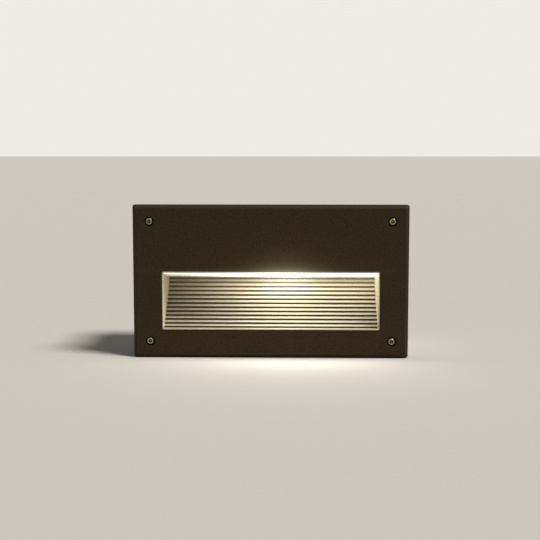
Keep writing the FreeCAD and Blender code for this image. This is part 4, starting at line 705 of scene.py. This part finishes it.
# %% Bronze
bronze = Finish("bronze_powder_coat", srgb(51, 42, 27), 0.52)
bronze.vary_colour(bronze.noise(1.1 * MM, 4.0), srgb(40, 32, 19), srgb(62, 52, 35))
bronze.vary_roughness(bronze.noise(4 * MM), 0.46, 0.60)
bronze.relief(bronze.noise(0.75 * MM, 2.0), 0.06 * MM, 0.8)
bronze.relief(bronze.noise(0.32 * MM, 2.0), 0.03 * MM, 0.6)
bronze.set("Specular IOR Level", 0.08)
dress(bronze, "faceplate")
print("dressed the plate in", bronze.material.name)

# %% [markdown]
# ## Silver paint on a sand-textured casting
# The scoop is painted silver so that its steps throw the light forward. Paint with metal flakes
# is mostly dull with a little metal in it, and the shader is set so. The mould's stipple shows as
# small dark specks. The cheeks are painted paler than the treads. The risers are painted shade:
# a dark brown, darkest near the sill and paler up towards the lens, as its light reaches them.

# %% Silver
SILVER_DARK = srgb(146, 138, 116)
SILVER_PALE = srgb(171, 163, 140)
CHEEK_DARK = srgb(166, 157, 128)
CHEEK_PALE = srgb(212, 203, 174)
RISER_PAINTED_SHADE = srgb(44, 33, 16)
RISER_PAINTED_SHADE_TOP = srgb(110, 96, 66)
SILL_Z = -0.043
STEPS_HEIGHT = 0.052

silver = Finish("scoop_silver_paint", SILVER_PALE, 0.5, 0.1)
stipple = silver.noise(0.8 * MM, 4.0)
stippled_paint = silver.ramp(stipple, [(0.3, SILVER_DARK), (0.7, SILVER_PALE)])
# The cheeks get a paler copy of the same stippled paint.
cheek_paint = silver.ramp(stipple, [(0.35, CHEEK_DARK), (0.6, CHEEK_PALE)])
step_z = axis_of(silver, "Z")
up_the_steps = math_node(
    silver, "MULTIPLY_ADD", step_z, 1 / STEPS_HEIGHT, -SILL_Z / STEPS_HEIGHT
)
# Painted shade on the risers: dark brown at the sill, paler up towards the lens's light.
riser_painted_shade = silver.ramp(up_the_steps, [(0.45, RISER_PAINTED_SHADE), (1.0, RISER_PAINTED_SHADE_TOP)])
paint = mix_colours(silver, "cheek", stippled_paint, cheek_paint)
silver.join(mix_colours(silver, "riser", paint, riser_painted_shade), silver.shader.inputs["Base Color"])
silver.vary_roughness(silver.noise(3 * MM), 0.42, 0.58)
silver.relief(silver.noise(0.7 * MM, 3.0), 0.07 * MM, 0.9)
dress(silver, "scoop")
print("dressed the scoop in", silver.material.name)

# %% [markdown]
# ## How a tube lights a pane
# The lens is frosted, so it glows all over where the tubes stand above it. A line of light of
# finite length lights a pane most below its middle, and the light falls off past its ends. The
# glow here is that law. An angle leads from a point of the pane to each end of the lit stretch,
# and counts as negative to the left. The glow is half the difference of the two angles' sines.
# The whole tube gives one such glow, and its hotter stretch another.

# %% Lens glow
TUBE_FIRST_X = -0.046
TUBE_LAST_X = 0.138
TUBE_REACH = 0.030
TUBE_LEVEL = 3.3
HOT_FIRST_X = -0.004
HOT_LAST_X = 0.032
HOT_REACH = 0.016
HOT_LEVEL = 9.0
GLOW_FLOOR = 0.1


def lit_by_line(finish, first_x, last_x, reach):
    """How strongly a line of light from first_x to last_x lights a point reach below it.

    With u the distance along X from the point to an end, that end's sine is
    u / sqrt(u^2 + reach^2). The light is half the difference of the two ends' sines.
    """
    along = axis_of(finish, "X")
    ends = []
    for end_x in (first_x, last_x):
        offset = math_node(finish, "SUBTRACT", end_x, along)
        squared = math_node(finish, "MULTIPLY", offset, offset)
        longer = math_node(finish, "ADD", squared, reach * reach)
        ends.append(math_node(finish, "DIVIDE", offset, math_node(finish, "SQRT", longer)))
    difference = math_node(finish, "SUBTRACT", ends[1], ends[0])
    return math_node(finish, "MULTIPLY", difference, 0.5)


def lens_glow(finish):
    """The pane's brightness along X: the whole tube, and its hotter stretch."""
    tube = lit_by_line(finish, TUBE_FIRST_X, TUBE_LAST_X, TUBE_REACH)
    hot = lit_by_line(finish, HOT_FIRST_X, HOT_LAST_X, HOT_REACH)
    total = math_node(finish, "MULTIPLY_ADD", tube, TUBE_LEVEL, GLOW_FLOOR)
    return math_node(finish, "MULTIPLY_ADD", hot, HOT_LEVEL, total)


def line_light(x, first_x, last_x, reach):
    """The law of lit_by_line as plain numbers: half the difference of the two ends' sines."""
    first, last = [(end - x) / np.hypot(end - x, reach) for end in (first_x, last_x)]
    return (last - first) / 2


SAMPLE_XS = np.array([-0.097, 0.0, 0.014, 0.097])
tube_light = TUBE_LEVEL * line_light(SAMPLE_XS, TUBE_FIRST_X, TUBE_LAST_X, TUBE_REACH)
hot_light = HOT_LEVEL * line_light(SAMPLE_XS, HOT_FIRST_X, HOT_LAST_X, HOT_REACH)
print("glow at x", SAMPLE_XS, "is", np.round(GLOW_FLOOR + tube_light + hot_light, 2))

# %% [markdown]
# ## The lit lens
# The pane's glow is warm where it is weak and near white where it is strong. It also fades along
# the pane's rear edge, which the seal and the box shade.

# %% Lens
GLOW_COLOUR = srgb(255, 252, 243)
GLOW_WARM = srgb(255, 243, 205)
GLOW_WARM_TO, GLOW_WHITE_FROM = 0.1, 0.55
LIT_TO_Y = 0.032
SHADED_FROM_Y = 0.040
SHADED_SHARE = 0.08

glass = Finish("lit_frosted_glass", srgb(246, 244, 238), 0.35)
pane_glow = lens_glow(glass)
kept = glass.between(axis_of(glass, "Y"), LIT_TO_Y, SHADED_FROM_Y, 1.0, SHADED_SHARE)
pane_light = math_node(glass, "MULTIPLY", pane_glow, kept)
pane_colour = glass.ramp(pane_glow, [(GLOW_WARM_TO, GLOW_WARM), (GLOW_WHITE_FROM, GLOW_COLOUR)])
glass.join(pane_light, glass.shader.inputs["Emission Strength"])
glass.join(pane_colour, glass.shader.inputs["Emission Color"])
glass.relief(glass.noise(0.5 * MM, 2.0), 0.02 * MM, 0.5)
dress(glass, "lens")
print("the lens fades from y", LIT_TO_Y, "to y", SHADED_FROM_Y)

# %% [markdown]
# ## The strip beside the lens
# The narrow strip between the lens and the plate is given painted light, as bright as the lens.
# It gets the same glow, and nowhere less than a plain white.

# %% Lit strip
STRIP_LEAST = 1.15

strip_mark = silver.add("ShaderNodeAttribute")
strip_mark.attribute_name = "lit"
# Painted light: the strip glows as an emitter, though it is paint.
strip_light = math_node(silver, "MAXIMUM", lens_glow(silver), STRIP_LEAST)
strip_glow = math_node(silver, "MULTIPLY", strip_light, strip_mark.outputs["Fac"])
silver.join(strip_glow, silver.shader.inputs["Emission Strength"])
silver.set("Emission Color", GLOW_COLOUR)
print("the strip glows at", STRIP_LEAST, "or more")

# %% [markdown]
# ## Light that spills on to the plate
# A glow of painted light lies on the plate's grain above the window. It is strongest at the
# window's edge and fades within a few centimetres. Two fading curves are added, a wide one and a
# tight one. The tight one is a power of the wide one, so both come from the same height.

# %% Spill
SPILL_COLOUR = srgb(255, 226, 176)
SPILL_FROM_Z = 0.0092
SPILL_REACH = 0.0078
SPILL_LEVEL = 0.2
SPILL_WIDENING = 1.6
TIGHT_POWER = 4.3
TIGHT_SHARE = 2.0

over_edge = math_node(bronze, "SUBTRACT", axis_of(bronze, "Z"), SPILL_FROM_Z)
wide = math_node(bronze, "EXPONENT", math_node(bronze, "MULTIPLY", over_edge, -1 / SPILL_REACH))
tight = math_node(bronze, "POWER", wide, TIGHT_POWER)
fading = math_node(bronze, "MULTIPLY_ADD", tight, TIGHT_SHARE, wide)
is_above = math_node(bronze, "GREATER_THAN", over_edge, 0.0)
upper = math_node(bronze, "MULTIPLY", fading, is_above)
along_plate = lit_by_line(bronze, HOT_FIRST_X, HOT_LAST_X, SPILL_WIDENING * HOT_REACH)
spill_along_plate = math_node(bronze, "MULTIPLY", upper, along_plate)
spill = math_node(bronze, "MULTIPLY", spill_along_plate, SPILL_LEVEL)
# Painted light: an emission glow on the plate above the window.
bronze.join(spill, bronze.shader.inputs["Emission Strength"])
bronze.set("Emission Color", SPILL_COLOUR)
print("the wide curve halves every", round(SPILL_REACH * math.log(2) / MM, 1), "mm")

# %% [markdown]
# ## The lamp
# The tubes are coated inside with phosphor, so they glow white all over. The base, the holder and
# the terminal block are white mouldings, a little see-through, with a faint mottle.

# %% Lamp and white mouldings
TUBE_GLASS_LEVEL = 1.1

tube_glass = Finish("lamp_phosphor_glass", srgb(250, 248, 240), 0.2)
tube_glass.set("Emission Color", GLOW_COLOUR)
tube_glass.set("Emission Strength", TUBE_GLASS_LEVEL)
tube_glass.vary_roughness(tube_glass.noise(6 * MM), 0.16, 0.26)
dress(tube_glass, "lamp_tubes")

moulded_white = Finish("moulded_white_plastic", srgb(226, 224, 216), 0.42)
moulded_white.vary_colour(moulded_white.noise(9 * MM), srgb(220, 217, 208), srgb(230, 228, 222))
moulded_white.relief(moulded_white.noise(0.4 * MM), 0.015 * MM, 0.5)
moulded_white.set("Subsurface Weight", 0.08)
dress(moulded_white, "lamp_base", "lampholder", "terminal_block")
print("dressed the lamp in", tube_glass.material.name, "and", moulded_white.material.name)

# %% [markdown]
# ## Stainless face screws
# The screws have stood outdoors, so their steel is dull and warm in tone. Where the points are
# marked, the colour is a dark brown of painted shade.

# %% Stainless steel
STEEL_DARK = srgb(128, 113, 86)
STEEL_PALE = srgb(172, 157, 128)
# Painted shade for the socket round the pin and the head's edge.
SCREW_PAINTED_SHADE = srgb(36, 28, 18)

stainless = Finish("turned_stainless", srgb(150, 138, 118), 0.3, 1.0)
metal = stainless.ramp(stainless.noise(1.5 * MM), [(0.3, STEEL_DARK), (0.7, STEEL_PALE)])
shaded_metal = mix_colours(stainless, "grime", metal, SCREW_PAINTED_SHADE)
stainless.join(shaded_metal, stainless.shader.inputs["Base Color"])
stainless.vary_roughness(stainless.noise(0.6 * MM), 0.24, 0.42)
stainless.relief(stainless.noise(0.25 * MM), 0.01 * MM, 0.5)
for corner in SCREW_PLACES_MM:
    dress(stainless, "face_screw_" + corner)
print("dressed", len(SCREW_PLACES_MM), "face screws")

# %% [markdown]
# ## Plated and galvanised steel
# Zinc-plated screws are bright and faintly blue. Galvanised sheet shows crystals of zinc, called
# spangle, a few millimetres across. A pattern of cells has the same look: each place takes its
# shade from its distance to the nearest of many scattered points.

# %% Zinc and spangle
zinc = Finish("bright_zinc_plate", srgb(182, 185, 190), 0.3, 1.0)
zinc.vary_colour(zinc.noise(2 * MM), srgb(165, 168, 174), srgb(196, 199, 203))
zinc.vary_roughness(zinc.noise(0.8 * MM), 0.24, 0.44)
zinc.relief(zinc.noise(0.3 * MM), 0.01 * MM, 0.5)
dress(
    zinc,
    "scoop_screws",
    "lens_clip_screws",
    "lampholder_screws",
    "bracket_screws",
    "reflector_screws",
    "gear_tray_screws",
    "ballast_screws",
    "terminal_block_screws",
    "conduit_plugs",
)

SPANGLE_SIZE = 6 * MM
spangle = Finish("galvanised_spangle", srgb(176, 180, 184), 0.45, 0.9)
spangle.vary_colour(spangle.cells(SPANGLE_SIZE), srgb(160, 164, 170), srgb(190, 193, 197), 0.0, 0.8)
spangle.vary_roughness(spangle.cells(SPANGLE_SIZE), 0.34, 0.56, 0.0, 0.8)
spangle.relief(spangle.noise(1.2 * MM), 0.01 * MM, 0.5)
dress(spangle, "gear_tray", "lampholder_bracket", "ballast_brackets")
print("spangle cells are", round(SPANGLE_SIZE / MM), "mm across")

# %% [markdown]
# ## Spring strip and the bright reflector
# Both are rolled, and rolling draws fine lines along the sheet. The noise is therefore squeezed
# on two axes, which stretches its blotches along the third.

# %% Rolled sheet
spring_steel = Finish("spring_stainless", srgb(190, 188, 182), 0.28, 1.0)
spring_steel.relief(spring_steel.noise(0.5 * MM, 2.0, (1, 12, 12)), 0.01 * MM, 0.6)
spring_steel.vary_roughness(spring_steel.noise(1 * MM), 0.22, 0.36)
dress(spring_steel, "lens_clips", "screw_retainers")

bright_sheet = Finish("bright_rolled_sheet", srgb(232, 232, 230), 0.2, 1.0)
bright_sheet.relief(bright_sheet.cells(3 * MM), 0.05 * MM, 0.5)
bright_sheet.vary_roughness(bright_sheet.noise(1 * MM, 3.0, (1, 20, 20)), 0.14, 0.26)
dress(bright_sheet, "reflector")
print("dressed the rolled sheet in", spring_steel.material.name, "and", bright_sheet.material.name)

# %% [markdown]
# ## Brass and yellow steel
# What carries current is brass, which is warm in tone. The clamp screws are steel with a yellow
# film over their zinc.

# %% Brass and yellow steel
brass = Finish("plain_brass", srgb(205, 168, 92), 0.3, 1.0)
brass.vary_colour(brass.noise(2 * MM), srgb(188, 150, 78), srgb(214, 180, 108))
brass.vary_roughness(brass.noise(0.7 * MM), 0.24, 0.4)
dress(brass, "lamp_pins", "lampholder_contacts", "terminal_clamps", "ground_lug")

yellow_steel = Finish("yellow_passivated_steel", srgb(196, 180, 126), 0.34, 1.0)
yellow_steel.vary_colour(yellow_steel.noise(1 * MM), srgb(180, 160, 100), srgb(204, 190, 146))
dress(yellow_steel, "terminal_screws")
print("dressed the contacts in", brass.material.name)

# %% [markdown]
# ## The cast box
# Blasting leaves a grey, sandy skin on the casting. A fine relief gives the sand, and a broad
# shallow one gives the slight unevenness of a cast wall.

# %% Cast skin
cast_skin = Finish("blasted_casting", srgb(168, 170, 172), 0.55, 0.7)
cast_skin.vary_colour(cast_skin.noise(1.6 * MM, 6.0), srgb(156, 158, 160), srgb(178, 180, 182))
cast_skin.vary_roughness(cast_skin.noise(26 * MM), 0.5, 0.62)
cast_skin.relief(cast_skin.noise(0.7 * MM, 3.0), 0.07 * MM, 0.8)
cast_skin.relief(cast_skin.noise(40 * MM, 1.0), 0.3 * MM, 0.4)
dress(cast_skin, "back_box")
print("dressed the box in", cast_skin.material.name)

# %% [markdown]
# ## Seals
# The plate's seal and the screws' washers are black rubber, matt and slightly dusty. The lens has
# a white silicone seal, which stands the lamp's heat.

# %% Seals
black_rubber = Finish("black_seal_rubber", srgb(30, 30, 30), 0.75)
black_rubber.vary_colour(black_rubber.noise(2 * MM), srgb(24, 24, 24), srgb(42, 41, 40))
black_rubber.relief(black_rubber.noise(0.5 * MM), 0.03 * MM, 0.6)
dress(black_rubber, "faceplate_gasket")
for corner in SCREW_PLACES_MM:
    dress(black_rubber, "face_washer_" + corner)

silicone = Finish("white_silicone", srgb(222, 221, 214), 0.5)
silicone.vary_colour(silicone.noise(5 * MM), srgb(214, 212, 203), srgb(228, 227, 221))
silicone.relief(silicone.noise(0.6 * MM), 0.02 * MM, 0.5)
dress(silicone, "lens_gasket")
print("dressed the seals in", black_rubber.material.name, "and", silicone.material.name)

# %% [markdown]
# ## Leads
# The insulation of a lead is drawn plastic, faintly rippled along its length. Black is live, white
# is neutral, and green is ground. The ground screw is green too, so that nobody mistakes it.

# %% Leads


def lead_finish(name, dark, pale):
    """Insulation of one colour, faintly rippled along its length."""
    finish = Finish(name, pale, 0.4)
    finish.vary_colour(finish.noise(4 * MM), dark, pale)
    finish.relief(finish.noise(1.2 * MM), 0.03 * MM, 0.5)
    return finish


lead_black = lead_finish("lead_black", srgb(20, 20, 21), srgb(34, 34, 35))
lead_white = lead_finish("lead_white", srgb(214, 213, 206), srgb(228, 227, 221))
lead_green = lead_finish("lead_green", srgb(30, 112, 52), srgb(44, 134, 66))
dress(lead_black, "ballast_lead", "lamp_lead")
dress(lead_white, "neutral_lead")
dress(lead_green, "ground_lead")

green_steel = Finish("green_screw_head", srgb(38, 120, 62), 0.35, 0.3)
green_steel.relief(green_steel.noise(0.5 * MM), 0.01 * MM, 0.5)
dress(green_steel, "ground_screw")
print("dressed four leads and the ground screw")

# %% [markdown]
# ## The ballast and the lamp's clip
# The ballast's core is a stack of thin sheets, which show as fine lines along its edges under a
# dark varnish. Its winding is copper wire under a brown varnish, on a black bobbin. The clip that
# holds the lamp's far end is a white moulding.

# %% Ballast and lamp clip
SHEET_THICKNESS = 0.5 * MM

laminations = Finish("varnished_laminations", srgb(52, 50, 50), 0.4, 0.4)
sheet_edges = laminations.waves(SHEET_THICKNESS, "Y")
laminations.vary_colour(sheet_edges, srgb(38, 36, 36), srgb(74, 71, 69))
laminations.relief(sheet_edges, 0.05 * MM, 0.8)
dress(laminations, "ballast_core")

bobbin_black = Finish("moulded_bobbin", srgb(40, 40, 44), 0.5)
bobbin_black.relief(bobbin_black.noise(0.5 * MM), 0.02 * MM, 0.5)
dress(bobbin_black, "ballast_bobbin")

varnished_wire = Finish("varnished_winding", srgb(150, 84, 42), 0.3, 0.6)
varnished_wire.vary_colour(varnished_wire.noise(3 * MM), srgb(128, 66, 30), srgb(168, 98, 54))
varnished_wire.relief(varnished_wire.waves(0.6 * MM, "X"), 0.1 * MM, 0.8)
dress(varnished_wire, "ballast_winding")

clip_white = Finish("clip_moulding", srgb(220, 219, 214), 0.3)
clip_white.set("Subsurface Weight", 0.1)
clip_white.relief(clip_white.noise(0.6 * MM), 0.01 * MM, 0.5)
dress(clip_white, "lamp_clip")
print("nodes dressed", len(DRESSED), "and left", sorted(set(NODES) - DRESSED))

# %% [markdown]
# ## The floor
# The light stands on a plain pale floor, far wider than the view, so that its edge is the horizon.

# %% Floor
FLOOR_CORNERS = ((-1, -1), (1, -1), (1, 1), (-1, 1))
FLOOR_REACH = 30.0
FLOOR_GAP = 0.2 * MM
FLOOR_COLOUR = srgb(208, 204, 198)

floor_z = CAD_BOX[0][2] - FLOOR_GAP
corners = [(x * FLOOR_REACH, y * FLOOR_REACH, floor_z) for x, y in FLOOR_CORNERS]
floor_mesh = bpy.data.meshes.new("floor")
floor_mesh.from_pydata(corners, [], [(0, 1, 2, 3)])
floor = bpy.data.objects.new("floor", floor_mesh)
bpy.context.scene.collection.objects.link(floor)
floor_finish = Finish("pale_floor", FLOOR_COLOUR, 0.9)
floor_finish.set("Specular IOR Level", 0.1)
floor_mesh.materials.append(floor_finish.material)
print("floor at z", round(floor_z, 4))

# %% [markdown]
# ## The world
# The world lights the object evenly and weakly. The camera sees a pale backdrop in its place, and
# so do gloss and glass, because metal that mirrors a dark world looks black. A ray that is any of
# the three takes the backdrop, and every other ray takes the lighting.

# %% World
BACKDROP_COLOUR = srgb(238, 235, 229)
WORLD_COLOUR = (1.0, 0.98, 0.95, 1.0)
WORLD_LEVEL = 0.13

world = bpy.data.worlds.new("world")
bpy.context.scene.world = world
world.use_nodes = True
tree = world.node_tree
tree.nodes.clear()
output = tree.nodes.new("ShaderNodeOutputWorld")
mix = tree.nodes.new("ShaderNodeMixShader")
lighting = tree.nodes.new("ShaderNodeBackground")
backdrop = tree.nodes.new("ShaderNodeBackground")
path = tree.nodes.new("ShaderNodeLightPath")
seen = tree.nodes.new("ShaderNodeMath")
seen.operation = "MAXIMUM"
seen_or_mirrored = tree.nodes.new("ShaderNodeMath")
seen_or_mirrored.operation = "MAXIMUM"
lighting.inputs["Color"].default_value = WORLD_COLOUR
lighting.inputs["Strength"].default_value = WORLD_LEVEL
backdrop.inputs["Color"].default_value = BACKDROP_COLOUR
backdrop.inputs["Strength"].default_value = 1.0
tree.links.new(path.outputs["Is Camera Ray"], seen.inputs[0])
tree.links.new(path.outputs["Is Transmission Ray"], seen.inputs[1])
tree.links.new(seen.outputs["Value"], seen_or_mirrored.inputs[0])
tree.links.new(path.outputs["Is Glossy Ray"], seen_or_mirrored.inputs[1])
tree.links.new(seen_or_mirrored.outputs["Value"], mix.inputs["Fac"])
tree.links.new(lighting.outputs["Background"], mix.inputs[1])
tree.links.new(backdrop.outputs["Background"], mix.inputs[2])
tree.links.new(mix.outputs["Shader"], output.inputs["Surface"])
print("world level", WORLD_LEVEL)

# %% [markdown]
# ## The key lamp
# One broad lamp at the upper right shapes the bevels, as in the photograph. Its wide disc makes
# soft shadows. A sun's strength is given so that a level of 1 lights a surface square to it about
# as brightly as a colour is written.

# %% Key lamp
KEY_DIRECTION = (0.50, -0.27, 0.82)
KEY_LEVEL = 1.0
KEY_SOFTNESS_DEG = 18
KEY_COLOUR = (1.0, 0.97, 0.92)

key_data = bpy.data.lights.new("key_lamp", "SUN")
key_data.energy = KEY_LEVEL * math.pi
key_data.angle = math.radians(KEY_SOFTNESS_DEG)
key_data.color = KEY_COLOUR
key_lamp = bpy.data.objects.new("key_lamp", key_data)
key_lamp.rotation_euler = (-Vector(KEY_DIRECTION)).to_track_quat("-Z", "Y").to_euler()
key_lamp.location = KEY_DIRECTION
bpy.context.scene.collection.objects.link(key_lamp)
bpy.context.scene.view_settings.view_transform = "Standard"
print("key lamp from", KEY_DIRECTION)
